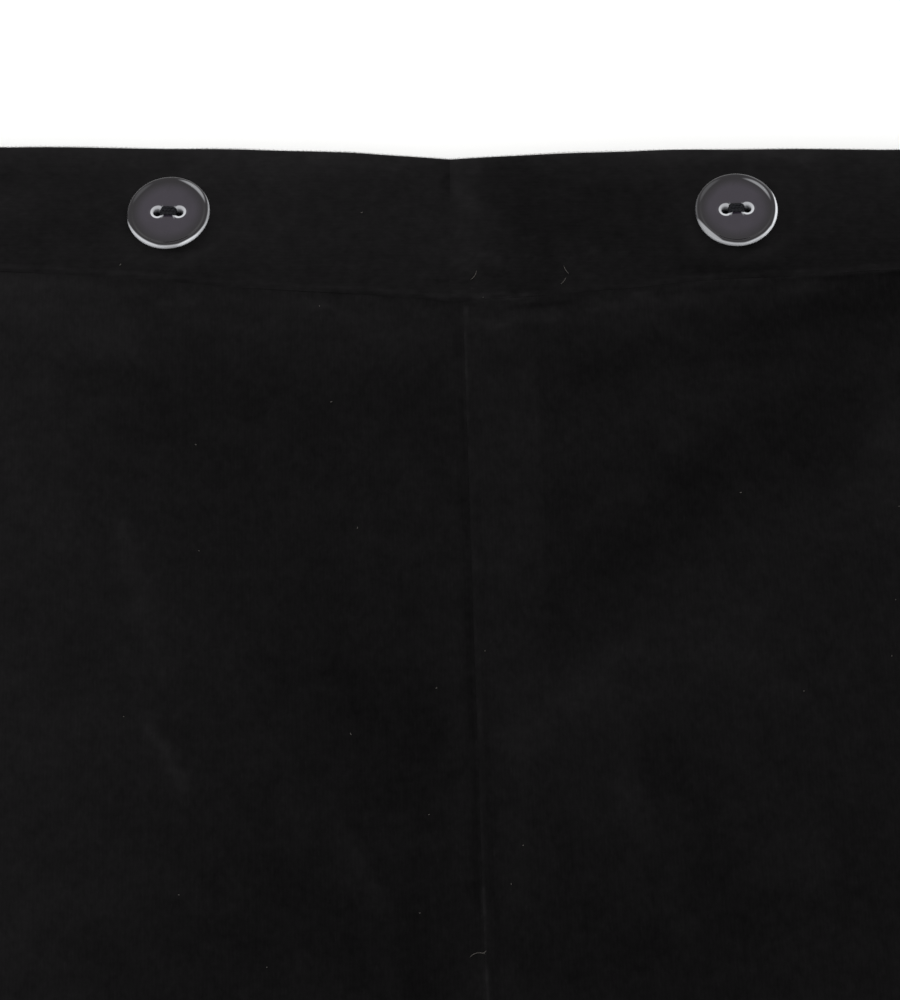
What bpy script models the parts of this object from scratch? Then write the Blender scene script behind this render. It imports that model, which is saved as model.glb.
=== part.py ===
"""Child's pull-on shorts of black needlecord, laid flat on their back with the front up.

+Z is up, +Y runs towards the waist and +X to the right of someone who looks from the hems.
The shorts rest on Z = 0, with the middle of their box over the origin.

Sizes are in millimetres. Places on the cloth are given from the notch in the middle of the
waist: x across, and depth down towards the hems. MM turns them to metres in the meshes.
"""
import math
from collections import namedtuple

import bmesh
import bpy
import numpy as np

MM = 0.001

# Cloth
CLOTH = 1.4             # one layer of cord with its pile
BAND_CLOTH = 2.0        # the waistband: two layers and an interfacing
HEM_CLOTH = 2.2         # a leg where its hem is turned up
HEM_TURN = 20.0         # how far the hem is turned up
HEM_RAMP = 12.0         # over which the cloth above it thickens
SEAM_GAP = 0.3          # between two pieces that are sewn together
LAYER_GAP = 0.3         # between the front and the back where the front lies on it

# Waistband, a shallow V along its upper edge and along its seam
TOP_RISE = 2.5          # the sides of the upper edge stand this far above the notch
TOP_REACH = 30.0        # how far from the notch the edge levels out
BAND_DEPTH = 30.4       # notch to the seam under it
SEAM_RISE = 9.4         # the seam climbs this much towards the sides
SEAM_REACH = 104.0
SEAM_SKEW = 0.006       # and for each millimetre to the right it climbs by this much more
BAND_CROWN = 0.5        # the band is thicker along its middle
BACK_BAND_DROP = 1.0    # the back's upper edge hides this far behind the front's

# Body and legs
CROTCH_DEPTH = 212.0
HEM_INNER_DEPTH = 288.0
HEM_OUTER_DEPTH = 264.0
HEM_SAG = 4.0           # the hem bows down this far between its corners
LEG_GAP = 13.0          # half the gap between the legs at the hems
LEG_GAP_CURVE = 1.3
SEAM_OFFSET = 2.3       # the centre seam starts this far right of the notch
SEAM_DRIFT = 0.0296     # and the body lies askew by this much for each millimetre of depth
BODY_LENGTH = HEM_INNER_DEPTH - BAND_DEPTH
SEAM_SIDE_DEPTH = BAND_DEPTH - SEAM_RISE    # where the waistband's seam meets the side seam

# Height of the front over the back
LIFT = 1.5              # the front's middle stands clear of the back by this
EDGE_REACH = 14.0       # and comes down to it over this distance from a side seam
EDGE_ROUND = 1.2        # width of the bevel round each piece
EDGE_DROP = 0.5         # and its height
MOST_HOLLOW = 3.4       # the tallest fold's height over the back

# Buttons, 24 ligne
BUTTON_PLACES = {-1: (-49.7, 14.0), 1: (50.6, 12.8)}    # x and depth of their middles
BUTTON_RADIUS = 7.5
BUTTON_THICK = 2.4
BUTTON_DISH = 6.1       # radius of the sunk face inside the rim
BUTTON_SINK = 0.3
BUTTON_SOLE = 4.6       # radius of the flat on the underside
RIM_ANGLES = (120, 75, 35, 0)   # where the rim's rounding has its rows, in degrees
RIM_TUCK = 0.4          # half way down, the rim has drawn in this much under its widest
HOLE_RADIUS = 0.9
HOLE_SPREAD = 2.2       # each hole's middle, out from the button's

# Facets
ACROSS_FRONT, BODY_ROWS_FRONT, LEG_ROWS_FRONT = 16, 19, 5
ACROSS_BACK, BODY_ROWS_BACK, LEG_ROWS_BACK = 6, 8, 2
HEM_ROWS = 2
ACROSS_BAND, ALONG_BAND = 15, 4
ARC_STEPS, LINE_STEPS = 16, 4

# Shares down a leg panel at which the turned hem's extra cloth starts and is all there
HEM_SHARES = (1 - (HEM_TURN + HEM_RAMP) / BODY_LENGTH, 1 - HEM_TURN / BODY_LENGTH)

Plan = namedtuple("Plan", "x depth u v to_side to_inseam")
Section = namedtuple("Section", "depth half_width")
SIDE_SEAM = (
    Section(depth=-3, half_width=134),
    Section(depth=22, half_width=139),
    Section(depth=60, half_width=150),
    Section(depth=110, half_width=164),
    Section(depth=160, half_width=174),
    Section(depth=212, half_width=181),
    Section(depth=264, half_width=188),
)

# Each fold runs from a start to an end and fades over its reach on both sides. Its bow
# is how far its middle lies to the right of the straight line, looking along the fold.
Fold = namedtuple("Fold", "x0 depth0 x1 depth1 bow reach height")
FOLDS = (
    Fold(x0=92, depth0=26, x1=40, depth1=39, bow=2, reach=9, height=-1.0),
    Fold(x0=78, depth0=50, x1=16, depth1=95, bow=3, reach=12, height=-1.5),
    Fold(x0=96, depth0=62, x1=8, depth1=122, bow=4, reach=14, height=1.5),
    Fold(x0=34, depth0=112, x1=50, depth1=196, bow=-3, reach=12, height=-1.3),
    Fold(x0=60, depth0=128, x1=86, depth1=215, bow=3, reach=15, height=1.2),
    Fold(x0=-26, depth0=82, x1=0, depth1=190, bow=4, reach=13, height=-1.5),
    Fold(x0=-40, depth0=108, x1=-20, depth1=182, bow=3, reach=13, height=1.0),
    Fold(x0=-60, depth0=36, x1=-4, depth1=38, bow=0, reach=9, height=0.9),
    Fold(x0=-16, depth0=204, x1=-96, depth1=178, bow=-4, reach=12, height=1.3),
    Fold(x0=-24, depth0=222, x1=-110, depth1=212, bow=4, reach=12, height=-1.0),
    Fold(x0=24, depth0=206, x1=104, depth1=232, bow=5, reach=13, height=1.2),
    Fold(x0=-150, depth0=70, x1=-112, depth1=150, bow=-5, reach=14, height=-1.1),
    Fold(x0=126, depth0=120, x1=152, depth1=232, bow=4, reach=15, height=-1.1),
    Fold(x0=-126, depth0=190, x1=-136, depth1=276, bow=-3, reach=14, height=1.1),
    Fold(x0=-62, depth0=226, x1=-72, depth1=290, bow=2, reach=13, height=0.9),
    Fold(x0=112, depth0=212, x1=120, depth1=282, bow=3, reach=14, height=1.0),
)

Finish = namedtuple("Finish", "name colour roughness")
NEEDLECORD = Finish("black needlecord", (0.0085, 0.0080, 0.0090), 0.92)
RESIN = Finish("smoke grey polyester resin", (0.060, 0.055, 0.064), 0.12)


def clear_scene():
    """Remove whatever the file opened with."""
    for obj in list(bpy.data.objects):
        bpy.data.objects.remove(obj, do_unlink=True)


def make_material(finish):
    """Return a Principled material with the finish's colour and roughness."""
    material = bpy.data.materials.new(finish.name)
    material.use_nodes = True
    shader = material.node_tree.nodes["Principled BSDF"]
    shader.inputs["Base Color"].default_value = (*finish.colour, 1.0)
    shader.inputs["Roughness"].default_value = finish.roughness
    shader.inputs["Metallic"].default_value = 0.0
    return material


def add_object(name, bm, material):
    """Turn a bmesh in millimetres into a named object in metres."""
    bmesh.ops.scale(bm, vec=(MM, MM, MM), verts=bm.verts)
    mesh = bpy.data.meshes.new(name)
    bm.to_mesh(mesh)
    bm.free()
    mesh.materials.append(material)
    mesh.shade_smooth()
    mesh.set_sharp_from_angle(angle=math.radians(40))
    obj = bpy.data.objects.new(name, mesh)
    bpy.context.scene.collection.objects.link(obj)
    return obj


def closed_wall(upper, lower):
    """Join two grids of points, shaped (rows, columns, 3), into one closed wall."""
    rows, columns = upper.shape[:2]
    bm = bmesh.new()
    verts = [[[bm.verts.new(point) for point in row] for row in grid] for grid in (upper, lower)]
    top, bottom = verts
    for i in range(rows - 1):
        for j in range(columns - 1):
            bm.faces.new((top[i][j], top[i][j + 1], top[i + 1][j + 1], top[i + 1][j]))
            bm.faces.new((bottom[i][j], bottom[i + 1][j], bottom[i + 1][j + 1], bottom[i][j + 1]))
    rim = [(0, j) for j in range(columns - 1)]
    rim += [(i, columns - 1) for i in range(rows - 1)]
    rim += [(rows - 1, j) for j in range(columns - 1, 0, -1)]
    rim += [(i, 0) for i in range(rows - 1, 0, -1)]
    for here, there in zip(rim, rim[1:] + rim[:1]):
        (i, j), (k, m) = here, there
        bm.faces.new((top[i][j], top[k][m], bottom[k][m], bottom[i][j]))
    bmesh.ops.recalc_face_normals(bm, faces=bm.faces)
    return bm


def smooth_step(value):
    """Rise from 0 to 1 with level ends as value goes from 0 to 1."""
    t = np.clip(value, 0.0, 1.0)
    return t * t * (3.0 - 2.0 * t)


def side_width(depth):
    """Half width of the shorts at a depth, on a smooth curve through the side seam's rows."""
    depths = np.array([row.depth for row in SIDE_SEAM], float)
    widths = np.array([row.half_width for row in SIDE_SEAM], float)
    slopes = np.gradient(widths, depths)
    depth = np.clip(depth, depths[0], depths[-1])
    k = np.clip(np.searchsorted(depths, depth) - 1, 0, len(depths) - 2)
    span = depths[k + 1] - depths[k]
    t = (depth - depths[k]) / span
    return ((2 * t**3 - 3 * t**2 + 1) * widths[k] + (t**3 - 2 * t**2 + t) * span * slopes[k]
            + (3 * t**2 - 2 * t**3) * widths[k + 1] + (t**3 - t**2) * span * slopes[k + 1])


def top_depth(x):
    """Depth of the waistband's upper edge: the notch is 0 and the sides stand above it."""
    return -TOP_RISE * np.tanh(np.abs(x) / TOP_REACH)


def seam_depth(x):
    """Depth of the seam between the waistband and the body."""
    return BAND_DEPTH - SEAM_RISE * np.tanh(np.abs(x) / SEAM_REACH) - SEAM_SKEW * x


def hem_depth(u):
    """Depth of the hem at a share u of the way from the inseam to the side seam."""
    return HEM_INNER_DEPTH + (HEM_OUTER_DEPTH - HEM_INNER_DEPTH) * u + HEM_SAG * 4 * u * (1 - u)


def inner_width(depth):
    """Half width of the gap between the legs: nothing above the crotch, opening below it."""
    share = np.clip((depth - CROTCH_DEPTH) / (HEM_INNER_DEPTH - CROTCH_DEPTH), 0.0, None)
    return LEG_GAP * share**LEG_GAP_CURVE


def spread(steps, length):
    """Shares from 0 to 1 in even steps, with one more row at each end for the bevel."""
    edge = EDGE_ROUND / length
    return np.concatenate(([0.0], np.linspace(edge, 1.0 - edge, steps + 1), [1.0]))


def leg_rows(body_steps, leg_steps):
    """Shares down a panel, with rows at the crotch, the hem's turning and each bevel."""
    edge = EDGE_ROUND / BODY_LENGTH
    crotch = (CROTCH_DEPTH - BAND_DEPTH) / BODY_LENGTH
    stops = (edge, crotch, *HEM_SHARES, 1.0 - edge)
    steps = (body_steps, leg_steps, 1, HEM_ROWS)
    runs = [np.linspace(a, b, n, endpoint=False) for a, b, n in zip(stops, stops[1:], steps)]
    return np.concatenate(([0.0], *runs, [1.0 - edge, 1.0]))


def panel_plan(side, across, down):
    """Lay out a leg panel: x and depth of every point, and how far it is from its edges.

    A row runs from the centre seam or inseam (u = 0) to the side seam (u = 1), and rows
    are spread from the waistband seam (v = 0) to the hem (v = 1).
    """
    v, u = np.meshgrid(down, across, indexing="ij")
    waist_width = side_width(np.array(SEAM_SIDE_DEPTH))
    waist_x = side * ((1 - u) * SEAM_GAP / 2 + u * waist_width) + SEAM_OFFSET * (1 - u)
    depth = (1 - v) * (seam_depth(waist_x) + SEAM_GAP / 2) + v * hem_depth(u)
    inner_depth = (1 - v) * BAND_DEPTH + v * HEM_INNER_DEPTH
    outer_depth = (1 - v) * SEAM_SIDE_DEPTH + v * HEM_OUTER_DEPTH
    inner = inner_width(inner_depth) + SEAM_GAP / 2
    outer = side_width(outer_depth)
    askew = SEAM_OFFSET * ((1 - u) * (1 - v) + v) + SEAM_DRIFT * BODY_LENGTH * v
    x = side * ((1 - u) * inner + u * outer) + askew
    width = outer - inner
    on_leg = smooth_step((inner_depth - CROTCH_DEPTH + EDGE_REACH) / (2 * EDGE_REACH))
    to_side = (1 - u) * width
    to_inseam = u * width + (1 - on_leg) * 10 * EDGE_REACH
    return Plan(x, depth, u, v, to_side, to_inseam)


def layer(v):
    """Thickness of a leg panel down its length: one layer, and more where the hem is turned."""
    start, full = HEM_SHARES
    return CLOTH + (HEM_CLOTH - CLOTH) * np.clip((v - start) / (full - start), 0.0, 1.0)


def fold_height(x, depth):
    """Sum of the folds at a point: each is a bell across its bowed line and past its ends."""
    total = np.zeros_like(x)
    for fold in FOLDS:
        run = np.array([fold.x1 - fold.x0, fold.depth1 - fold.depth0], float)
        length = np.hypot(*run)
        along = ((x - fold.x0) * run[0] + (depth - fold.depth0) * run[1]) / length**2
        aside = ((x - fold.x0) * run[1] - (depth - fold.depth0) * run[0]) / length
        t = np.clip(along, 0.0, 1.0)
        aside = aside - fold.bow * 4 * t * (1 - t)
        beyond = (along - t) * length
        total += fold.height * np.exp(-(aside**2 + (beyond / 1.6)**2) / fold.reach**2)
    return total


def edge_drop(u, v, width, length):
    """How far the upper side falls at the outermost row, which makes the bevel."""
    near = np.minimum(np.minimum(u, 1 - u) * width, np.minimum(v, 1 - v) * length)
    return EDGE_DROP * (1.0 - np.clip(near / (0.9 * EDGE_ROUND), 0.0, 1.0))


def wall_object(name, x, depth, upper, lower, material):
    """Make a piece from its plan and the heights of its two sides."""
    grids = [np.stack((x, -depth, z), axis=-1) for z in (upper, lower)]
    return add_object(name, closed_wall(*grids), material)


def make_front(name, side, material):
    """Front of one leg, standing a little clear of the back and creased by the folds."""
    across = spread(ACROSS_FRONT, side_width(np.array(CROTCH_DEPTH)))
    plan = panel_plan(side, across, leg_rows(BODY_ROWS_FRONT, LEG_ROWS_FRONT))
    settle = 1 - np.exp(-plan.to_side / EDGE_REACH)
    settle = settle * (1 - np.exp(-plan.to_inseam / EDGE_REACH))
    hollow = np.clip(settle * (LIFT + fold_height(plan.x, plan.depth)), 0.0, MOST_HOLLOW)
    under_band = smooth_step((plan.depth - seam_depth(plan.x)) / EDGE_REACH)
    lift = np.maximum(hollow, (BAND_CLOTH - CLOTH) * (1 - under_band))
    lower = layer(plan.v) + LAYER_GAP + lift
    upper = lower + layer(plan.v) - edge_drop(plan.u, plan.v, side_width(plan.depth), BODY_LENGTH)
    return wall_object(name, plan.x, plan.depth, upper, lower, material)


def make_back(name, side, material):
    """Back of one leg, flat on what it lies on."""
    across = spread(ACROSS_BACK, side_width(np.array(CROTCH_DEPTH)))
    plan = panel_plan(side, across, leg_rows(BODY_ROWS_BACK, LEG_ROWS_BACK))
    upper = layer(plan.v) - edge_drop(plan.u, plan.v, side_width(plan.depth), BODY_LENGTH)
    return wall_object(name, plan.x, plan.depth, upper, np.zeros_like(upper), material)


def band_plan(side, across):
    """Lay out a waistband half: x, depth, and the shares across (u) and down (v) it."""
    down = spread(ALONG_BAND, BAND_DEPTH)
    v, u = np.meshgrid(down, across, indexing="ij")
    half = side_width(v * SEAM_SIDE_DEPTH)
    distance = SEAM_GAP / 2 + u * (half - SEAM_GAP / 2)
    x = side * distance
    depth = (1 - v) * top_depth(x) + v * (seam_depth(x) - SEAM_GAP / 2)
    return x, depth, u, v


def make_front_band(name, side, material):
    """Half of the front waistband, lying on the back one, slightly crowned."""
    x, depth, u, v = band_plan(side, spread(ACROSS_BAND, SIDE_SEAM[0].half_width))
    lower = np.full_like(x, BAND_CLOTH + LAYER_GAP)
    crown = BAND_CROWN * 4 * v * (1 - v)
    upper = lower + BAND_CLOTH + crown - edge_drop(u, v, SIDE_SEAM[0].half_width, BAND_DEPTH)
    return wall_object(name, x, depth, upper, lower, material)


def make_back_band(name, material):
    """Back waistband in one piece, flat on what it lies on, just hidden by the front one."""
    half = spread(ACROSS_BAND // 2, SIDE_SEAM[0].half_width)
    right = band_plan(1, half[1:])
    left = band_plan(-1, half[:0:-1])
    x, depth, u, v = (np.concatenate(pair, axis=1) for pair in zip(left, right))
    depth = depth + BACK_BAND_DROP * (1 - v)
    upper = BAND_CLOTH - edge_drop(0.5 + u / 2, v, 2 * SIDE_SEAM[0].half_width, BAND_DEPTH)
    return wall_object(name, x, depth, upper, np.zeros_like(x), material)


def button_rim():
    """Radius and height down the turned rim, from beside the dish to above the sole."""
    rim = (BUTTON_RADIUS - BUTTON_DISH) / 2
    crest = BUTTON_DISH + rim
    angles = np.radians(RIM_ANGLES)
    rows = [(crest + rim * math.cos(a), BUTTON_THICK - rim + rim * math.sin(a)) for a in angles]
    return rows + [(BUTTON_RADIUS - RIM_TUCK, BUTTON_THICK / 2)]


def make_button(name, side, material):
    """Two-hole button: a ring of rows round each hole meets the rim's turned rows.

    Each half of the face is bounded by the straight line between the holes and by half
    of the dish's circle, and its rows run from the hole out to that boundary.
    """
    corner = math.atan2(BUTTON_DISH, -HOLE_SPREAD)
    arc = np.linspace(-corner, corner, ARC_STEPS + 1)
    line = np.linspace(corner, 2 * math.pi - corner, LINE_STEPS + 1)[1:-1]
    face = BUTTON_THICK - BUTTON_SINK
    middle = np.array([HOLE_SPREAD, 0.0])
    bm = bmesh.new()
    for half in (1, -1):
        rays = []
        for angle in np.concatenate((arc, line)):
            toward = np.array([math.cos(angle), math.sin(angle)])
            hole = middle + HOLE_RADIUS * toward
            along = middle @ toward
            reach = math.sqrt(along**2 - HOLE_SPREAD**2 + BUTTON_DISH**2) - along
            if angle > corner:
                reach = -HOLE_SPREAD / toward[0]
            bound = middle + reach * toward
            ray = [(*hole, 0.0), (*hole, face), (*bound, face)]
            if angle <= corner:
                ray += [(*(bound / BUTTON_DISH * radius), z) for radius, z in button_rim()]
            ray.append((*(bound * BUTTON_SOLE / BUTTON_DISH), 0.0))
            rays.append([bm.verts.new((half * px, py, pz)) for px, py, pz in ray])
        for here, there in zip(rays, rays[1:] + rays[:1]):
            last = len(here) - 1 if len(here) == len(there) > 4 else 2
            for k in range(last):
                bm.faces.new((here[k], here[k + 1], there[k + 1], there[k]))
            bm.faces.new((here[-1], here[0], there[0], there[-1]))
    bmesh.ops.remove_doubles(bm, verts=bm.verts, dist=0.001)
    bmesh.ops.recalc_face_normals(bm, faces=bm.faces)
    z = 2 * BAND_CLOTH + BAND_CROWN + LAYER_GAP + SEAM_GAP
    x, depth = BUTTON_PLACES[side]
    bmesh.ops.translate(bm, verts=bm.verts, vec=(x, -depth, z))
    return add_object(name, bm, material)


def centre_on_origin(objects):
    """Move all pieces together so that the middle of their box lies over the origin."""
    corners = np.array([vertex.co for obj in objects for vertex in obj.data.vertices])
    middle = (corners.min(axis=0) + corners.max(axis=0)) / 2
    for obj in objects:
        obj.location = (-middle[0], -middle[1], -corners[:, 2].min())


def main():
    """Build every piece of the shorts."""
    clear_scene()
    cord = make_material(NEEDLECORD)
    resin = make_material(RESIN)
    pieces = [make_back_band("waistband_back", cord)]
    for label, side in (("left", -1), ("right", 1)):
        pieces.append(make_back(f"back_{label}", side, cord))
        pieces.append(make_front(f"front_{label}", side, cord))
        pieces.append(make_front_band(f"waistband_front_{label}", side, cord))
        pieces.append(make_button(f"button_{label}", side, resin))
    centre_on_origin(pieces)


main()
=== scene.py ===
# Child's pull-on shorts of black needlecord, laid flat with the front up.
import math

import bmesh
import bpy
import numpy as np
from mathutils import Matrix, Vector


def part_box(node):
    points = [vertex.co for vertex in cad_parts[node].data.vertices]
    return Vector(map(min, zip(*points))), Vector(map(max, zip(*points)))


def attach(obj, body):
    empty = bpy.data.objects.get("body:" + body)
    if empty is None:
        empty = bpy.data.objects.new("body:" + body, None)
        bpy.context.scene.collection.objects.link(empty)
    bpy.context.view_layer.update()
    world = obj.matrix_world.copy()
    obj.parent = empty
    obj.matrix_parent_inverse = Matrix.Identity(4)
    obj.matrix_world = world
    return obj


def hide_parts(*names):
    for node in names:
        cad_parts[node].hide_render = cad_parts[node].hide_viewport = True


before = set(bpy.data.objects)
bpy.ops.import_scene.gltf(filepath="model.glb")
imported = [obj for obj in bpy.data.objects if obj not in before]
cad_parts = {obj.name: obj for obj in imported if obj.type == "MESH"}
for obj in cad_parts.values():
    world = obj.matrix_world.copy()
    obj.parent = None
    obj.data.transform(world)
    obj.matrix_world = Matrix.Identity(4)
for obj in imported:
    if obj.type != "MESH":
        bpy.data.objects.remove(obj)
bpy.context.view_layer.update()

mm = 0.001

# Places on the cloth are in millimetres from the notch of the waistband: x across and
# depth down towards the hems. Everything below is laid out in them, and toWorld turns
# them into the frame's metres.
waist = {
    "topRise": 2.5, "topReach": 30.0,        # the upper edge's shallow V
    "bandDepth": 30.4, "seamRise": 9.4, "seamReach": 104.0,   # the seam under the band
    "seamSkew": 0.006,
    "backDrop": 1.0,                         # the back's edge stays hidden behind the front's
    "halfWidth": 134.0,                      # at the upper edge, as laid out
    # where hands pulled the upper edge down or up: place, by how much, reach
    "dips": (
        (-80, 0.17, 5), (-60, 0.07, 5), (-51, 0.28, 8), (-30, 0.16, 6), (-17, -0.11, 4),
        (12, 0.07, 5), (31, 0.09, 5), (62, -0.08, 8), (77, 0.11, 6),
    ),
}
legs = {
    "halfWidth": 181.0,                      # at the crotch, as laid out
    "crotchDepth": 212.0, "hemInner": 288.0, "hemOuter": 264.0, "hemSag": 4.0,
    "gap": 13.0, "gapCurve": 1.3,            # between the legs at the hems
    "seamOffset": 2.3, "seamDrift": 0.0296,  # how askew the body lies
    "hemTurn": 20.0, "hemRamp": 12.0,
}
cloth = {
    "layer": 1.4, "band": 2.0, "hem": 2.2,   # thicknesses
    "gap": 0.3,                              # between the layers where they lie on each other
    "lift": 1.5, "edgeReach": 14.0, "mostHollow": 3.4,
    "crown": 0.5,
}
# Depth and half width down the side seam
sideSeam = np.array([(-3, 134), (22, 139), (60, 150), (110, 164), (160, 174), (212, 181), (264, 188)], float)
bodyLength = legs["hemInner"] - waist["bandDepth"]
seamSideDepth = waist["bandDepth"] - waist["seamRise"]

buttons = {
    "radius": 7.4, "thick": 2.4, "sink": 0.3,
    "flatRadius": 6.1, "crestRadius": 6.8, "tuckRadius": 7.0, "soleRadius": 4.6,
    "crestHeight": 0.55, "tuckHeight": 0.65,     # above and below the widest line
    "holeRadius": 0.76, "holeSpread": 1.92, "chamfer": 0.45, "chamferDepth": 0.35,
    "places": {"left": (-49.7, 14.0), "right": (50.6, 12.8)},
    "turns": {"left": -2.3, "right": 3.8},   # degrees, as sewn
    # how each hangs on its thread: share of full size seen, slopes up to the right and to
    # the waist, and how far it has slipped, in mm
    "hangs": {"left": (0.992, 0.075, 0.022, 0.04, 0.06), "right": (0.984, 0.018, 0.05, 0.0, 0.15)},
    # painted reflection on the face: radius of the lighter middle, over what length it darkens,
    # by what share it changes a mm to the right and up; and how strong the painted highlight at
    # the holes is and how much less towards the waist
    "dish": 4.2, "dishOver": 2.3, "dishSlope": (-0.02, 0.03), "holeLight": 0.56, "holeLess": 0.16,
}

# The frame's origin, found from where a button stands in it
leftLow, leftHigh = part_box("button_left")
originX = (leftLow[0] + leftHigh[0]) / 2 / mm - buttons["places"]["left"][0]
originY = (leftLow[1] + leftHigh[1]) / 2 / mm + buttons["places"]["left"][1]


def toWorld(x, depth, z):
    # metres: x and the height straight over, depth turned into minus y
    return np.stack(np.broadcast_arrays((x + originX) * mm, (originY - depth) * mm, z * mm), axis=-1)


def smoothStep(value):
    # 3t^2 - 2t^3 with t clipped to 0..1
    t = np.clip(value, 0.0, 1.0)
    return t * t * (3.0 - 2.0 * t)


def bell(distance, reach):
    # exp(-(distance / reach)^2)
    return np.exp(-(distance / reach) ** 2)


def sideWidth(depth):
    # cubic Hermite curve through the side seam's rows, with central slopes
    depths, widths = sideSeam.T
    slopes = np.gradient(widths, depths)
    depth = np.clip(depth, depths[0], depths[-1])
    k = np.clip(np.searchsorted(depths, depth) - 1, 0, len(depths) - 2)
    span = depths[k + 1] - depths[k]
    t = (depth - depths[k]) / span
    return ((2 * t**3 - 3 * t**2 + 1) * widths[k] + (t**3 - 2 * t**2 + t) * span * slopes[k]
            + (3 * t**2 - 2 * t**3) * widths[k + 1] + (t**3 - t**2) * span * slopes[k + 1])


def topDepth(x):
    # a V with round arms, minus rise times tanh(|x| / reach), and a bell for each dip
    dips = sum(drop * bell(x - place, reach) for place, drop, reach in waist["dips"])
    return dips - waist["topRise"] * np.tanh(np.abs(x) / waist["topReach"])


# How the seam under the band runs from left to right: how far it strays down in mm, and the
# shades of painted light by which its line, the cloth 1 mm above it and the cloth 1 mm below
# it are lighter, and of painted shadow by which a line 2 mm below it is darker
seamParts = ("x", "strays", "line", "above", "below", "shadow")
seamRuns = np.array([
    (-134, 0.0, -0.3, 2.0, 0.0, 0.0),
    (-86, -0.5, -0.3, 2.8, 0.0, 0.0),
    (-73, -0.5, -0.3, 2.8, 0.0, 0.0),
    (-62, -0.4, -0.4, 1.9, 0.2, 0.0),
    (-55.5, -0.3, 0.3, 3.6, -1.4, 0.0),
    (-50, -0.2, -0.3, 1.6, -0.4, 0.0),
    (-38, 0.2, -0.2, 1.2, 0.0, 0.0),
    (-25, 0.0, 1.0, 2.4, 0.0, 0.0),
    (-14, -0.3, -1.5, 2.4, 0.4, 0.0),
    (-4, -0.3, -2.1, 1.9, -0.5, 0.0),
    (3, 0.2, -1.5, 2.8, -0.8, 0.3),
    (9, 0.1, 2.8, 3.4, 0.0, 1.2),
    (16, 0.2, 0.9, 1.0, -1.5, 2.6),
    (24, 0.0, -1.4, 0.5, -0.9, 0.5),
    (33, 0.0, -0.1, 0.2, 0.2, 0.0),
    (41, -0.5, 1.9, 2.9, 0.0, 1.8),
    (50, -0.6, 2.3, 2.6, 0.6, 2.8),
    (59, -0.3, 2.1, 2.9, -1.6, 0.3),
    (68, -0.4, 1.5, 1.0, -3.0, 0.0),
    (75, -0.6, 3.6, 2.4, -3.8, 0.0),
    (92, -0.5, 1.8, 1.5, -2.5, 0.0),
    (134, 0.0, 0.0, 1.5, 0.0, 0.0),
])


def alongSeam(x, part):
    # straight runs between the rows above
    return np.interp(x, seamRuns[:, 0], seamRuns[:, seamParts.index(part)])


def seamDepth(x):
    # the V's shape again, deeper, tipped a little to the right, and straying
    arm = waist["seamRise"] * np.tanh(np.abs(x) / waist["seamReach"])
    return waist["bandDepth"] - arm - waist["seamSkew"] * x + alongSeam(x, "strays")


def hemDepth(u):
    # straight from the inseam's corner to the side's, bowed down by a parabola
    slope = legs["hemOuter"] - legs["hemInner"]
    return legs["hemInner"] + slope * u + legs["hemSag"] * 4 * u * (1 - u)


def innerWidth(depth):
    # gap times share^curve below the crotch, nothing above it
    share = np.clip((depth - legs["crotchDepth"]) / (legs["hemInner"] - legs["crotchDepth"]), 0.0, None)
    return legs["gap"] * share ** legs["gapCurve"]


def unevenShares(length, rolls, runs, turns=5):
    # 0..1 along a length: rows at roll * (1 - cos a) inside both edges, where they are
    # rolled, and between them runs of even cells, each up to a place and so many cells
    bend = 1 - np.cos(np.linspace(0, math.pi / 2, turns + 1))
    stops = [rolls[0]] + [min(stop, length - rolls[1]) for stop, cells in runs]
    parts = [np.linspace(a, b, cells + 1)[1:] for a, b, (stop, cells) in zip(stops, stops[1:], runs)]
    return np.concatenate((rolls[0] * bend, *parts, length - rolls[1] * bend[-2::-1])) / length


def rolled(distance, radius, least=0.08):
    # quarter circle from the least share at the edge up to 1 one radius in
    rise = np.sqrt(np.clip(1 - (1 - np.clip(distance / radius, 0, 1)) ** 2, 0, 1))
    return least + (1 - least) * rise


def pressed(distance, radius, least):
    # the same for an edge held flat by its seam: a smooth step in place of the quarter circle
    return least + (1 - least) * smoothStep(distance / radius)


def wander(x, start):
    # uneven -1..1 along a seam: three sines of 19, 8 and 3.1 mm
    waves = ((1, 3.0, 0.45), (2, 1.27, 0.33), (3, 0.49, 0.22))
    return sum(share * np.sin(x / length + k * start) for k, length, share in waves)


def uneven(x, start, share):
    # wanders round 1 by up to that share
    return 1 + share * wander(x, start)


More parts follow.
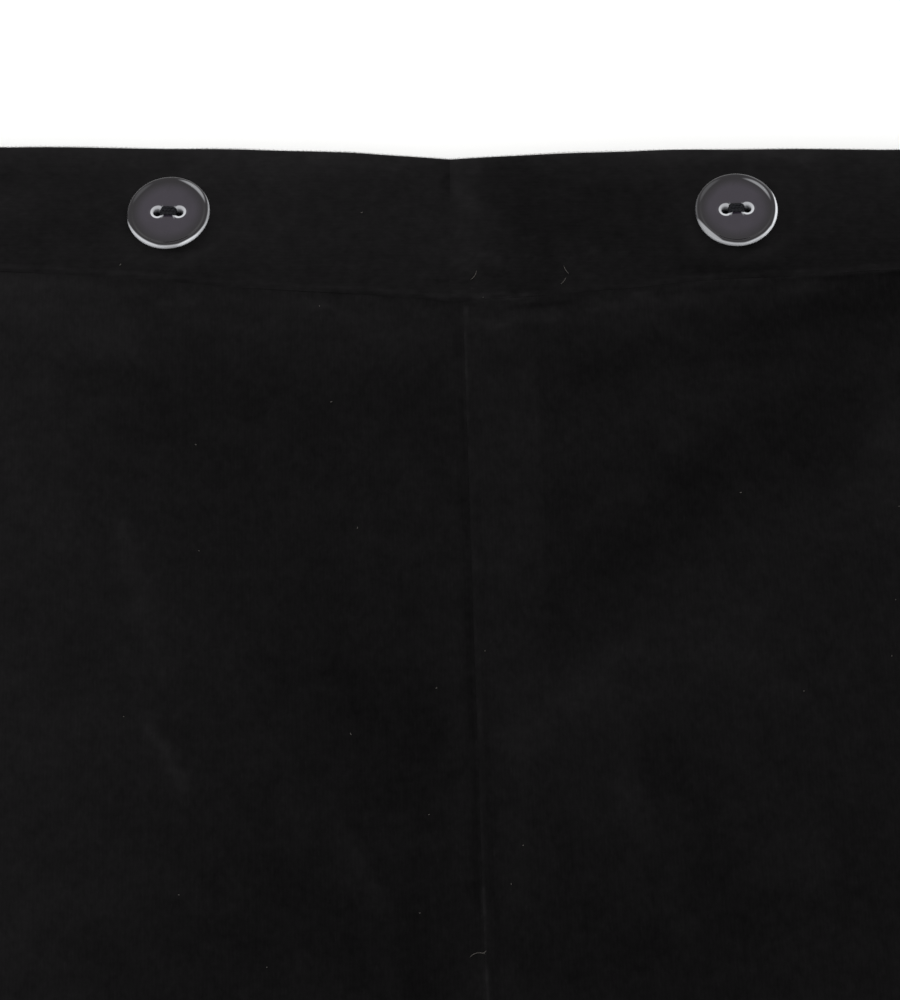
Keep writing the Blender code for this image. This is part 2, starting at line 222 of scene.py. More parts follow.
# Folds: start, end, bow of the middle to the right of that line, reach, height. A trough
# is negative. The first sixteen are the ones that the solids have.
folds = np.array([
    (92, 26, 40, 39, 2, 9, -1.0),
    (78, 50, 16, 95, 3, 12, -1.5),
    (96, 62, 8, 122, 4, 14, 1.5),
    (34, 112, 50, 196, -3, 12, -1.3),
    (60, 128, 86, 215, 3, 15, 1.2),
    (-26, 82, 0, 190, 4, 13, -1.5),
    (-40, 108, -20, 182, 3, 13, 1.0),
    (-60, 36, -4, 38, 0, 9, 0.9),
    (-16, 204, -96, 178, -4, 12, 1.3),
    (-24, 222, -110, 212, 4, 12, -1.0),
    (24, 206, 104, 232, 5, 13, 1.2),
    (-150, 70, -112, 150, -5, 14, -1.1),
    (126, 120, 152, 232, 4, 15, -1.1),
    (-126, 190, -136, 276, -3, 14, 1.1),
    (-62, 226, -72, 290, 2, 13, 0.9),
    (112, 212, 120, 282, 3, 14, 1.0),
    # finer creases that only the cloth has
    (-56, 74, -48, 101, 1, 1.8, 0.30),
    (-51, 108, -43, 127, 0, 1.8, 0.40),
    (-20, 125, -8, 164, 2, 2.0, 0.35),
    (4, 35, 44, 28, 0, 1.8, 0.25),
    (29, 101, 12, 118, 0, 3.5, 0.35),
    (24, 43, 44, 39, 1, 4, -0.35),
    (31, 116, 32, 140, 0, 3.0, 0.35),
    (70, 84, 34, 104, 2, 4, 0.3),
    (-96, 120, -84, 176, 4, 5, 0.35),
    (140, 60, 128, 110, 3, 5, 0.3),
    (-120, 40, -100, 52, 1, 5, -0.3),
    (-12, 210, -60, 226, 3, 4, 0.5),
    (22, 212, 64, 216, -3, 4, -0.45),
])

# Painted light and shade of folds and creases, with brushed pile: start, end, bow, reach, and
# how many shades lighter it lies
bodyShadeAndNap = np.array([
    # left leg: light towards the side, and below the band
    (-82, 34, -78, 164, 0, 25, 3.6),
    (-80, 30, -62, 36, 0, 6, 3.4),
    (-75, 42, -72, 45, 0, 3, 1.0),
    (-50, 31.2, -46, 31.6, 0, 1.6, 2.6),
    (-35, 32, -3, 36, 0, 4, 1.8),
    (-24, 31.5, -21, 32, 0, 1.2, 2.2),
    (-15, 35, -9, 39, 0, 3.4, 1.8),
    (-62, 44, -50, 54, 0, 5, -1.2),
    (-46, 33, -24, 42, 0, 5, 2.0),
    (-59, 49, -5, 55, 0, 8, -1.2),
    (-65, 98, -46, 98, 0, 11, 0.9),
    (-66, 118, -52, 124, 0, 7, 1.0),
    # its long crease, broken up, with a sharper lower end
    (-55.9, 76.2, -53.6, 80.8, 0, 1.0, 2.8),
    (-53.2, 86, -51.2, 93, 0, 2.2, 2.2),
    (-53.0, 101, -51.6, 106.5, 0, 0.9, 1.6),
    (-48.4, 100, -48.0, 106, 0, 0.8, 1.2),
    (-50.6, 112.5, -48.6, 115, 0, 1.0, 2.2),
    (-48.6, 114.5, -44.2, 124.8, 0, 1.1, 3.6),
    (-45.6, 114.5, -41.6, 122.5, 0, 1.6, -1.2),
    (-55, 80, -43, 126, 0, 5, 1.1),
    (-20, 60, -6, 76, 0, 6, 0.9),
    (-46, 138, -38, 146, 0, 6, 1.8),
    (-74, 44, -70, 40, 0, 4, -1.4),
    (-70, 96, -60, 100, 0, 7, -1.2),
    (-21, 92, -14, 118, 0, 6.5, -1.7),
    (-30, 140, -14, 156, 0, 7, -2.6),
    (-44, 148, -36, 160, 0, 6, -1.6),
    (-22, 104, -10, 110, 0, 6, -1.8),
    (-58, 156, -52, 162, 0, 7, -1.2),
    (-72, 50, -60, 50, 0, 5, 1.4),
    (-6, 120, -3, 164, 0, 5.5, -2.4),
    (-8, 88, -4, 112, 0, 4, -1.4),
    (-17.5, 135, -11.5, 144, 0, 2.3, 2.0),
    (-11.8, 136, -9.4, 145, 0, 1.2, -1.4),
    (-10.6, 147, -8.0, 164, 0, 1.8, 1.5),
    (-70, 40.4, -57, 42.4, 0, 2.4, 3.0),
    (-71, 27.6, -54, 28.8, 0, 1.6, 2.0),
    (-38.5, 144, -31.5, 152, 0, 4, -2.4),
    (-12, 68.5, -7.8, 74, 0, 4, -2.2),
    (-22.4, 56, -23, 62, 0, 4, -1.4),
    (-26, 34, -18, 35.6, 0, 3, 1.4),
    (-66.5, 148, -47, 146, 0, 4, 1.8),
    (-68, 73, -67, 78, 0, 3, 1.6),
    (-13, 147, -10.5, 149, 0, 3.4, -1.8),
    (-38, 63, -36, 64.5, 0, 3, -1.6),
    (-1.6, 118, -0.6, 124, 0, 1.8, -2.0),
    (-22, 102.5, -20, 106.5, 0, 2.8, 1.6),
    (-76, 37.5, -70, 40, 0, 3.4, -1.2),
    (-52, 130.5, -48, 133.5, 0, 4, -1.6),
    (-18.5, 135, -12.5, 129, 0, 3.4, -1.6),
    (-57, 112, -54, 114, 0, 3.4, 1.3),
    (-34, 134, -31.5, 136, 0, 3, 1.4),
    # right leg: below the band's seam
    (4.8, 35.0, 9.5, 36.6, 0, 1.5, 2.6),
    (9.5, 35.4, 19, 33.6, 0, 1.3, 2.4),
    (19, 33.7, 34, 30.6, 0, 1.3, 1.6),
    (34, 29.8, 45, 29.8, 0, 1.3, 2.0),
    (61.8, 27.3, 67.5, 26.6, 0, 0.8, 2.6),
    (24.4, 43.5, 43.7, 39.3, 0, 3.6, -2.2),
    (42, 36.2, 79, 28.4, -1, 4.2, -2.6),
    (66, 31, 82, 27.4, 0, 4.2, -2.2),
    (40, 42, 46, 41, 0, 4, 2.0),
    (54, 42, 66, 40, 0, 4, -1.2),
    (42, 72, 52, 64, 0, 5, 2.0),
    (74, 46, 76, 56, 0, 5, 1.8),
    (69.3, 50.4, 40, 70, -2, 7.2, -3.2),
    (44, 68, 18.8, 90, 0, 7.0, -2.6),
    (76, 56, 78, 72, 0, 5, 1.4),
    (70, 76, 34, 102, 0, 9, 1.4),
    (29, 100, 21, 108, 0, 2.6, 2.4),
    (20, 110, 12, 117, 0, 2.6, 1.2),
    (38, 123, 43.5, 145, 0, 5.6, -2.6),
    (54, 126, 74, 140, 0, 8, -2.0),
    (30, 138, 34, 148, 0, 5, -1.8),
    (33.8, 118, 34.6, 140, 0, 1.6, -0.9),
    (29.4, 124, 31.0, 136, 0, 2.4, 1.3),
    (15.9, 127, 20, 138.4, 0, 3.0, -1.9),
    (11, 134, 12, 143, 0, 4, 1.8),
    (42, 66, 54, 68, 0, 5, -1.2),
    (26, 66, 18, 70, 0, 5, -1.6),
    (10, 42, 30, 40, 0, 4, -1.2),
    (66, 126, 72, 132, 0, 4, -1.7),
    (58.5, 132, 60, 143, 0, 3.4, 1.5),
    (18, 149, 46, 164, 0, 9, -2.0),
    (16, 116, 30, 130, 0, 8, 1.6),
    (50, 122, 80, 134, 0, 9, 1.2),
    (67, 26.4, 80, 25.2, 0, 1.6, -2.8),
    (35, 35.0, 42, 36.4, 0, 2.4, 2.8),
    (42, 42.4, 53, 40.6, 0, 3.2, -2.4),
    (41, 62, 45, 65, 0, 4, 2.4),
    (33, 69.5, 37, 70, 0, 3.6, 2.2),
    (22.5, 118.5, 25.5, 124, 0, 4, -1.8),
    (54, 146.5, 61, 145, 0, 4.5, -2.4),
    (30, 148.3, 37, 148.8, 0, 3.4, 2.2),
    (67, 52.5, 71, 57, 0, 3.2, 1.2),
    (67, 127, 69.5, 131.5, 0, 4, 1.8),
    (8, 129.5, 10, 134.5, 0, 3.4, -1.6),
    (14, 157, 18, 160.5, 0, 4, -1.8),
    (50, 102.5, 54, 106.5, 0, 4, 1.6),
    (22.5, 111.5, 26, 108.5, 0, 2.8, 1.6),
    (25, 148, 29, 151, 0, 3.6, -1.7),
    (34, 59.5, 37, 62, 0, 3, -1.5),
    (66, 84.3, 70, 84.3, 0, 4, -1.5),
    (10.5, 120, 12.5, 122.5, 0, 3, 1.3),
    (61.5, 61.5, 65.5, 60, 0, 3.4, -1.4),
    (73, 36.5, 78, 36, 0, 3, -1.5),
    (23, 49, 26, 48, 0, 4, -1.4),
    # what the picture's frame cuts off, in the same manner
    (-120, 60, -96, 150, 4, 16, -1.8),
    (-150, 120, -140, 210, -3, 13, 1.8),
    (104, 80, 128, 170, 5, 15, -2.0),
    (150, 110, 160, 220, 3, 13, 1.8),
    (-100, 190, -60, 262, 3, 12, 1.6),
    (-40, 226, -50, 280, 0, 12, -1.8),
    (60, 196, 84, 260, 3, 13, 1.6),
    (130, 210, 136, 270, 0, 12, -1.8),
])
# Painted light and shade of small creases along the seams, and light streaks, the same way
seamMarks = np.array([
    (1.8, 28.6, 2.6, 28.5, 0, 0.4, 3.0), (5.4, 29.6, 6.4, 29.4, 0, 0.4, 3.5),
    (8.4, 27.9, 9.2, 27.6, 0, 0.4, 2.0), (9.6, 29.8, 10.4, 29.6, 0, 0.45, 3.0),
    (12.8, 29.0, 13.6, 28.8, 0, 0.4, 3.0), (13.0, 30.6, 14.0, 30.4, 0, 0.4, 2.5),
    (2.9, 32.2, 2.9, 34.7, 0, 0.5, 3.0), (6.4, 35.2, 7.2, 35.0, 0, 0.5, 1.6),
    (8.6, 36.2, 9.4, 36.0, 0, 0.5, 1.6), (11.2, 34.8, 12.2, 34.6, 0, 0.5, 1.6),
    (15.4, 34.6, 18.2, 34.3, 0, 0.5, 1.4), (9.2, 36.0, 10.4, 35.9, 0, 0.5, 1.8),
    (0.4, 29.6, 3.2, 29.5, 0, 0.6, -1.6), (8.4, 29.3, 9.4, 29.2, 0, 0.4, -1.6),
    (10.4, 28.7, 11.2, 28.6, 0, 0.4, -1.6), (10.8, 31.4, 14.8, 31.0, 0, 0.7, -1.8),
    (17.8, 30.9, 20.8, 30.5, 0, 0.6, -1.8), (3.2, 31.0, 4.2, 31.2, 0, 0.5, -1.6),
    (2.7, 37.6, 2.7, 38.6, 0, 0.35, 2.5), (2.8, 43.6, 2.8, 46.2, 0, 0.35, 3.0),
    (3.1, 49.2, 3.1, 50.6, 0, 0.35, 2.5), (3.0, 53.2, 3.0, 54.8, 0, 0.35, 2.5),
    (1.2, 40.4, 1.2, 42.2, 0, 0.5, -1.5), (2.2, 50.4, 2.2, 51.8, 0, 0.4, -1.5),
    (24.0, 32.3, 25.4, 32.1, 0, 0.6, 1.6), (32.6, 28.7, 34.4, 28.5, 0, 0.4, 1.8),
    (41.2, 26.9, 43.4, 26.8, 0, 0.4, 1.6), (51.6, 25.9, 54.2, 25.7, 0, 0.4, 1.6),
    (63.2, 27.8, 64.8, 27.6, 0, 0.5, 2.0), (74.6, 24.2, 77.0, 24.0, 0, 0.4, 1.6),
    (-50.8, 31.4, -48.8, 31.4, 0, 0.6, 1.6), (-57.8, 25.6, -52.0, 25.5, 0, 0.4, 1.2),
    (-23.4, 31.8, -22.0, 31.6, 0, 0.6, 1.8), (5.75, 143.8, 5.95, 148.0, 0, 0.35, 4.5),
    (6.3, 157.6, 6.6, 164.0, 0, 0.35, 4.5), (5.2, 112.0, 5.4, 116.0, 0, 0.3, 1.8),
    (-62.6, 24.9, -60.4, 24.8, 0, 0.4, -1.4), (-48.6, 26.3, -46.4, 26.2, 0, 0.4, -1.4),
    (-20.4, 28.7, -18.0, 28.6, 0, 0.5, -1.6),
])
# Painted light and shade on the band, with brushed pile, the same way
bandShadeAndNap = np.array([
    (-66, 14, -60, 14, 0, 6, -3.6),
    (-52, 25, -44, 25, 0, 3.0, -1.8),
    (46, 24, 54, 23.4, 0, 3.0, -1.8),
    (-45, 12, -6, 16, 0, 13, 1.4),
    (-84, 12, -64, 14, 0, 12, 1.4),
    (64, 12, 90, 12, 0, 9, -1.6),
    (-33, 3, -31, 9, 0, 2.5, 1.3),
    (0.6, -0.4, 1.4, 8, 0, 0.8, 1.5),
    (2.2, 0.5, 2.9, 9, 0, 2.1, 4.2),
    (2.8, 9, 3.4, 22, 0, 2.6, 1.6),
    (5.2, -1, 5.4, 3, 0, 1.6, 1.6),
    (12.0, 5, 14.1, 27, 0, 5.0, -3.2),
    (26, 12, 50, 26, 0, 8, -2.2),
    (-46, 8, -38, 14, 0, 6, 1.6),
    (30, 6, 40, 6, 0, 5, -1.2),
    (30, 1.5, 40, 3, 0, 2.6, 1.4),
    (56, 25, 90, 24, 0, 6, -2.4),
    (60, 6, 90, 8, 0, 7, 0.8),
    (60, 7, 66, 11, 0, 2.6, 1.2),
    (6.0, 21.6, 9.0, 21.5, 0, 0.4, 4.0),
    (5.6, 23.0, 10.6, 22.8, 0, 0.4, 3.4),
    (0.8, 21.8, 4.0, 21.6, 0, 0.4, 2.4),
    (1.6, 17.0, 5.0, 16.8, 0, 0.4, 3.0),
    (23, 20.8, 25.6, 20.4, 0, 0.4, 3.6),
    (29, 20.6, 31, 20.4, 0, 0.4, 2.6),
    (13.4, 16.8, 15.4, 16.6, 0, 0.5, 2.8),
    (13.2, 21.2, 14.4, 21.2, 0, 0.4, 4.0),
    (2.6, 24.8, 9.6, 24.6, 0, 0.35, -2.2),
    (-2, 26.0, 10, 25.9, 0, 0.35, -1.8),
    (-96, 10, -124, 16, 0, 12, -1.0),
    (100, 8, 126, 14, 0, 12, 1.0),
    (-42, 1.0, -24, 1.6, 0, 4.0, 3.2),
    (-24, 0.6, -9, 1.6, 0, 1.2, 2.6),
    (34, -0.6, 64, -0.7, 0, 1.5, 4.0),
    (1.6, 1.4, 8, 1.8, 0, 1.8, -1.8),
    (-84, 0.8, -56, 0.8, 0, 2.4, 1.6),
    (-78, 11.4, -66, 12, 0, 4, 2.4),
    (8.5, 16, 12, 22, 0, 3, 1.6),
    (3.5, 7, 6, 9, 0, 2.4, -1.8),
    (-66, 20, -58, 20.5, 0, 3, 1.8),
    (21, 16.5, 25, 17.5, 0, 3, -1.5),
])


brush = {"endFade": 1.6, "ragged": 1.2}      # ends fade so much slower than sides; mm


def strokes(x, depth, rows):
    # each is a bell across its bowed line: height * exp(-(aside^2 + (beyond / endFade)^2) / reach^2)
    total = np.zeros_like(x)
    for x0, d0, x1, d1, bow, reach, height in rows:
        runX, runD = x1 - x0, d1 - d0
        length = math.hypot(runX, runD)
        along = ((x - x0) * runX + (depth - d0) * runD) / length**2
        aside = ((x - x0) * runD - (depth - d0) * runX) / length
        t = np.clip(along, 0, 1)
        aside = aside - bow * 4 * t * (1 - t)
        beyond = (along - t) * length / brush["endFade"]
        total += height * np.exp(-(aside**2 + beyond**2) / reach**2)
    return total


def brushed(x, depth, rows):
    # the strokes with ragged outlines: each place reads them a little beside itself
    besideX = brush["ragged"] * wander(depth + 0.4 * x, 0.7)
    besideD = brush["ragged"] * wander(x - 0.5 * depth, 2.9)
    return strokes(x + besideX, depth + besideD, rows)


def ripple(x, depth):
    # slow unevenness of cloth that was smoothed by hand: five crossed sine waves, in mm
    waves = ((41, 63, 0.3), (-57, 38, 1.7), (29, -83, 2.9), (95, 27, 4.1), (-23, 19, 5.2))
    heights = (0.10, 0.09, 0.07, 0.10, 0.03)
    return sum(h * np.sin(2 * math.pi * (x / a + depth / b) + p) for h, (a, b, p) in zip(heights, waves))


def panelPlan(side, across, down):
    # a leg panel's x and depth: u runs from the centre seam or inseam to the side seam and
    # v from the waistband's seam to the hem, both as shares, with straight rows between
    v, u = np.meshgrid(down, across, indexing="ij")
    waistX = side * u * sideWidth(np.array(seamSideDepth)) + legs["seamOffset"] * (1 - u)
    depth = (1 - v) * seamDepth(waistX) + v * hemDepth(u)
    innerDepth = (1 - v) * waist["bandDepth"] + v * legs["hemInner"]
    outerDepth = (1 - v) * seamSideDepth + v * legs["hemOuter"]
    inner = innerWidth(innerDepth)
    outer = sideWidth(outerDepth)
    askew = legs["seamOffset"] * ((1 - u) * (1 - v) + v) + legs["seamDrift"] * bodyLength * v
    local = (1 - u) * inner + u * outer
    onLeg = smoothStep((innerDepth - legs["crotchDepth"] + cloth["edgeReach"]) / (2 * cloth["edgeReach"]))
    return {
        "x": side * local + askew, "depth": depth, "v": v, "local": local,
        "toSide": (1 - u) * (outer - inner), "fromCentre": u * (outer - inner),
        "toHem": (1 - v) * bodyLength, "fromBand": v * bodyLength, "onLeg": onLeg,
    }


def sewnEdges(plan, radius):
    # share of the thickness left where front and back are sewn together, 1 inside: rolled
    # at the side seam, and at the inseam below the crotch
    return rolled(plan["toSide"], radius) * (1 - plan["onLeg"] * (1 - rolled(plan["fromCentre"], radius)))


def layerThickness(v):
    # one layer of cord, ramping up to the turned hem's
    start = 1 - (legs["hemTurn"] + legs["hemRamp"]) / bodyLength
    full = 1 - legs["hemTurn"] / bodyLength
    return cloth["layer"] + (cloth["hem"] - cloth["layer"]) * np.clip((v - start) / (full - start), 0, 1)


def quads(rows, columns, closed=False):
    # four corner indices of every cell of a grid of points, row by row
    i, j = np.meshgrid(np.arange(rows - 1), np.arange(columns if closed else columns - 1), indexing="ij")
    right = (j + 1) % columns
    return np.stack((i * columns + j, i * columns + right,
                     (i + 1) * columns + right, (i + 1) * columns + j), axis=-1).reshape(-1, 4)


def placed(name, data):
    # an object in the scene that shows the data
    obj = bpy.data.objects.new(name, data)
    bpy.context.scene.collection.objects.link(obj)
    return obj


def newObject(name, points, faces, material):
    # a smooth mesh of one material that rides on the root
    mesh = bpy.data.meshes.new(name)
    mesh.from_pydata(points.reshape(-1, 3).tolist(), [], faces)
    mesh.update()
    mesh.shade_smooth()
    mesh.materials.append(material)
    obj = placed(name, mesh)
    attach(obj, "root")
    return obj


def facesOutward(obj, merge=0.0):
    # merges points that lie that close and turns all faces outward
    bm = bmesh.new()
    bm.from_mesh(obj.data)
    if merge:
        bmesh.ops.remove_doubles(bm, verts=bm.verts, dist=merge)
    bmesh.ops.recalc_face_normals(bm, faces=bm.faces)
    bm.to_mesh(obj.data)
    bm.free()


def addValues(obj, name, values, kind):
    # stores one number or vector for each point, which a material reads by name
    layer = obj.data.attributes.new(name, kind, "POINT")
    key = "value" if kind == "FLOAT" else "vector"
    layer.data.foreach_set(key, np.ascontiguousarray(values, np.float32).ravel())


def clothWall(name, node, slot, plan, middle, thick, grain, shadeAndNap):
    # closed wall: two grids half a thickness above and below the middle, joined by one
    # strip of faces round the rim
    upper = toWorld(plan["x"], plan["depth"], middle + thick / 2)
    lower = toWorld(plan["x"], plan["depth"], middle - thick / 2)
    rows, columns = plan["x"].shape
    count = rows * columns
    index = np.arange(count).reshape(rows, columns)
    rim = np.concatenate((index[0, :-1], index[:-1, -1], index[-1, :0:-1], index[:0:-1, 0]))
    after = np.roll(rim, -1)
    top = quads(rows, columns)
    strip = np.stack((rim, after, after + count, rim + count), axis=-1)
    first, right, down = upper[1, 1], upper[1, 2], upper[2, 1]
    if np.cross(right - first, down - first)[2] < 0:
        top, strip = top[:, ::-1], strip[:, ::-1]
    faces = np.concatenate((top, top[:, ::-1] + count, strip[:, ::-1]))
    points = np.concatenate((upper.reshape(-1, 3), lower.reshape(-1, 3)))
    obj = newObject(name, points, faces.tolist(), cords[slot])
    obj.data.set_sharp_from_angle(angle=math.radians(65))
    grain = grain.reshape(-1, 3)
    addValues(obj, "grain", np.concatenate((grain, grain + 0.37)), "FLOAT_VECTOR")
    # painted light and shade, with brushed pile, in shades, on both sides
    addValues(obj, "shadeAndNap", np.concatenate((shadeAndNap.ravel(), shadeAndNap.ravel())), "FLOAT")
    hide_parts(node)
    return obj


# Colour and shading

def linearColour(hexText):
    # sRGB hex to linear: ((c + 0.055) / 1.055) ^ 2.4 above the straight foot
    parts = np.array([int(hexText[k:k + 2], 16) / 255 for k in (1, 3, 5)])
    linear = np.where(parts <= 0.04045, parts / 12.92, ((parts + 0.055) / 1.055) ** 2.4)
    return (*[float(c) for c in linear], 1.0)


def newMaterial(name):
    # a material with its tree and its shader
    material = bpy.data.materials.new(name)
    material.use_nodes = True
    tree = material.node_tree
    return material, tree, tree.nodes["Principled BSDF"]


def addNode(tree, kind, settings, links):
    # one node with its settings (sockets by name or number, else properties) and links
    node = tree.nodes.new(kind)
    for key, value in settings.items():
        if isinstance(key, int) or key in node.inputs:
            node.inputs[key].default_value = value
        else:
            setattr(node, key, value)
    for key, source in links.items():
        tree.links.new(source, node.inputs[key])
    return node


def addShades(tree, shades, source, spread):
    # adds noise between 0.3 and 0.7, spread out to minus and plus that many shades
    scaled = addNode(tree, "ShaderNodeMapRange", {
        "From Min": 0.3, "From Max": 0.7, "To Min": -spread, "To Max": spread, "clamp": False,
    }, {"Value": source})
    total = addNode(tree, "ShaderNodeMath", {"operation": "ADD"}, {0: shades, 1: scaled.outputs["Result"]})
    return total.outputs["Value"]


cordLook = {
    # painted light and shade, with brushed pile, so many shades to either side of the usual tone;
    # the shades are equal steps to the eye, so a power in linear light
    "dark": "#000000", "light": "#292829", "shades": 20.0, "power": 2.2,
    "waleSpacing": 0.62,      # mm; the finest cord has about 0.6
    "waleShades": 0.10, "waleHeight": 0.3,
    "fleckWidth": 0.95, "fleckLength": 1.8, "fleckShades": 1.25,   # mm; pile that leans together
    "slubWidth": 0.4, "slubLength": 2.4,                           # mm; sparse light dashes
    "slubFrom": 0.61, "slubFull": 0.76, "slubShades": 2.4,
    "pile": 0.35, "pileShades": 0.15,         # mm; real pile is finer, drawn as coarse as it shows
    "mottle": 3.2, "mottleShades": 1.05,      # mm
    "cloud": 13.0, "cloudShades": 0.45,       # mm
    "bump": 0.015,            # mm
}


def makeNeedlecord(name, look):
    # cotton corduroy with very fine wales, cut pile brushed by hand: matt black, lighter and
    # darker by the painted light and shade and the brushed pile it reads, with short flecks along the wales
    material, tree, shader = newMaterial(name)
    grain = addNode(tree, "ShaderNodeAttribute", {"attribute_name": "grain"}, {}).outputs["Vector"]
    # painted light and shade, with brushed pile, in shades
    shadeAndNap = addNode(tree, "ShaderNodeAttribute", {"attribute_name": "shadeAndNap"}, {}).outputs["Fac"]
    wales = addNode(tree, "ShaderNodeTexWave", {
        "wave_type": "BANDS", "bands_direction": "X", "Scale": math.pi / 10 / look["waleSpacing"],
        "Distortion": 2.0, "Detail": 2.0, "Detail Scale": 0.3,
    }, {"Vector": grain}).outputs["Fac"]
    stretched = {}
    for key in ("fleck", "slub"):
        stretch = addNode(tree, "ShaderNodeMapping", {
            "Scale": (1 / look[key + "Width"], 1 / look[key + "Length"], 1.0),
        }, {"Vector": grain})
        stretched[key] = addNode(tree, "ShaderNodeTexNoise", {
            "Scale": 1.0, "Detail": 3.0, "Roughness": 0.6,
        }, {"Vector": stretch.outputs["Vector"]}).outputs["Fac"]
    shades = addShades(tree, shadeAndNap, stretched["fleck"], look["fleckShades"])
    shades = addShades(tree, shades, wales, look["waleShades"])
    slubs = addNode(tree, "ShaderNodeMapRange", {
        "From Min": look["slubFrom"], "From Max": look["slubFull"], "To Max": look["slubShades"],
    }, {"Value": stretched["slub"]})
    links = {0: shades, 1: slubs.outputs["Result"]}
    shades = addNode(tree, "ShaderNodeMath", {"operation": "ADD"}, links).outputs["Value"]
    for key in ("pile", "mottle", "cloud"):
        noise = addNode(tree, "ShaderNodeTexNoise", {
            "Scale": 1 / look[key], "Detail": 3.0, "Roughness": 0.55,
        }, {"Vector": grain})
        shades = addShades(tree, shades, noise.outputs["Fac"], look[key + "Shades"])
    even = addNode(tree, "ShaderNodeMapRange", {
        "From Min": -look["shades"], "From Max": look["shades"],
    }, {"Value": shades})
    share = addNode(tree, "ShaderNodeMath", {
        "operation": "POWER", 1: look["power"],
    }, {0: even.outputs["Result"]})
    colour = addNode(tree, "ShaderNodeMix", {
        "data_type": "RGBA", 6: linearColour(look["dark"]), 7: linearColour(look["light"]),
    }, {0: share.outputs["Value"]})
    height = addNode(tree, "ShaderNodeMath", {
        "operation": "MULTIPLY_ADD", 1: look["waleHeight"],
    }, {0: wales, 2: stretched["fleck"]})
    bump = addNode(tree, "ShaderNodeBump", {
        "Strength": 1.0, "Distance": look["bump"] * mm,
    }, {"Height": height.outputs["Value"]})
    tree.links.new(colour.outputs[2], shader.inputs["Base Color"])
    tree.links.new(bump.outputs["Normal"], shader.inputs["Normal"])
    shader.inputs["Roughness"].default_value = 1.0
    shader.inputs["Specular IOR Level"].default_value = 0.01
    shader.inputs["Sheen Weight"].default_value = 0.004
    shader.inputs["Sheen Roughness"].default_value = 0.4
    return material


resinLook = {
    # smoke grey, dark towards the rim and lighter in the middle of the face by a painted reflection
    "deep": "#0d080e", "body": "#29242d",   # smoke grey under the rim and in the middle of the face
    # painted highlights on the rims and round the holes
    "edge": "#e2e4e8",                      # the light that gathers at its edges
    "roughness": 0.10, "worn": 0.15, "ior": 1.50,
    "scuff": 4.5,                           # mm, size of the faint clouds
    "dim": 0.80, "bright": 1.15,            # how they change the middle's lightness
}


def makeResin(name, look):
    # cast polyester resin, turned and tumble polished: a hard gloss over smoky grey, with
    # painted highlights on its edges and a painted reflection that lightens the middle of its face
    material, tree, shader = newMaterial(name)
    # the painted highlights on the rim and holes, and the painted reflection of the face
    edge = addNode(tree, "ShaderNodeAttribute", {"attribute_name": "edge"}, {})
    dish = addNode(tree, "ShaderNodeAttribute", {"attribute_name": "dish"}, {})
    place = addNode(tree, "ShaderNodeTexCoord", {}, {})
    scuff = addNode(tree, "ShaderNodeTexNoise", {
        "Scale": 1 / (look["scuff"] * mm), "Detail": 4.0,
    }, {"Vector": place.outputs["Object"]})
    cloudy = addNode(tree, "ShaderNodeMapRange", {
        "From Min": 0.35, "From Max": 0.65, "To Min": look["dim"], "To Max": look["bright"],
    }, {"Value": scuff.outputs["Fac"]})
    links = {0: dish.outputs["Fac"], 1: cloudy.outputs["Result"]}
    lit = addNode(tree, "ShaderNodeMath", {"operation": "MULTIPLY"}, links)
    smoke = addNode(tree, "ShaderNodeMix", {
        "data_type": "RGBA", 6: linearColour(look["deep"]), 7: linearColour(look["body"]),
    }, {0: lit.outputs["Value"]})
    colour = addNode(tree, "ShaderNodeMix", {
        "data_type": "RGBA", 7: linearColour(look["edge"]),
    }, {0: edge.outputs["Fac"], 6: smoke.outputs[2]})
    rough = addNode(tree, "ShaderNodeMapRange", {
        "From Min": 0.35, "From Max": 0.7, "To Min": look["roughness"], "To Max": look["worn"],
    }, {"Value": scuff.outputs["Fac"]})
    tree.links.new(colour.outputs[2], shader.inputs["Base Color"])
    tree.links.new(rough.outputs["Result"], shader.inputs["Roughness"])
    shader.inputs["IOR"].default_value = look["ior"]
    return material


def makeThread(name, dark, light):
    # spun polyester sewing thread, plies twisted: dull, with fine slanting plies
    material, tree, shader = newMaterial(name)
    twist = addNode(tree, "ShaderNodeAttribute", {"attribute_name": "twist"}, {})
    plies = addNode(tree, "ShaderNodeTexWave", {
        "wave_type": "BANDS", "bands_direction": "DIAGONAL", "Scale": 1.0, "Distortion": 0.5,
    }, {"Vector": twist.outputs["Vector"]})
    colour = addNode(tree, "ShaderNodeMix", {
        "data_type": "RGBA", 6: linearColour(dark), 7: linearColour(light),
    }, {0: plies.outputs["Fac"]})
    bump = addNode(tree, "ShaderNodeBump", {
        "Strength": 0.8, "Distance": 0.05 * mm,
    }, {"Height": plies.outputs["Fac"]})
    tree.links.new(colour.outputs[2], shader.inputs["Base Color"])
    tree.links.new(bump.outputs["Normal"], shader.inputs["Normal"])
    shader.inputs["Roughness"].default_value = 0.8
    shader.inputs["Specular IOR Level"].default_value = 0.15
    return material


# By the slots that they fill
cords = {
    "cord": makeNeedlecord("black needlecord", cordLook),
    "band_cord": makeNeedlecord("black needlecord cut crosswise", cordLook),
}
resin = makeResin("smoke grey polyester resin", resinLook)
thread = makeThread("black polyester thread", "#0c0c0f", "#26262a")
lintFibre = makeThread("pale lint", "#353331", "#504d4b")
print("materials are ready")


# Front panels

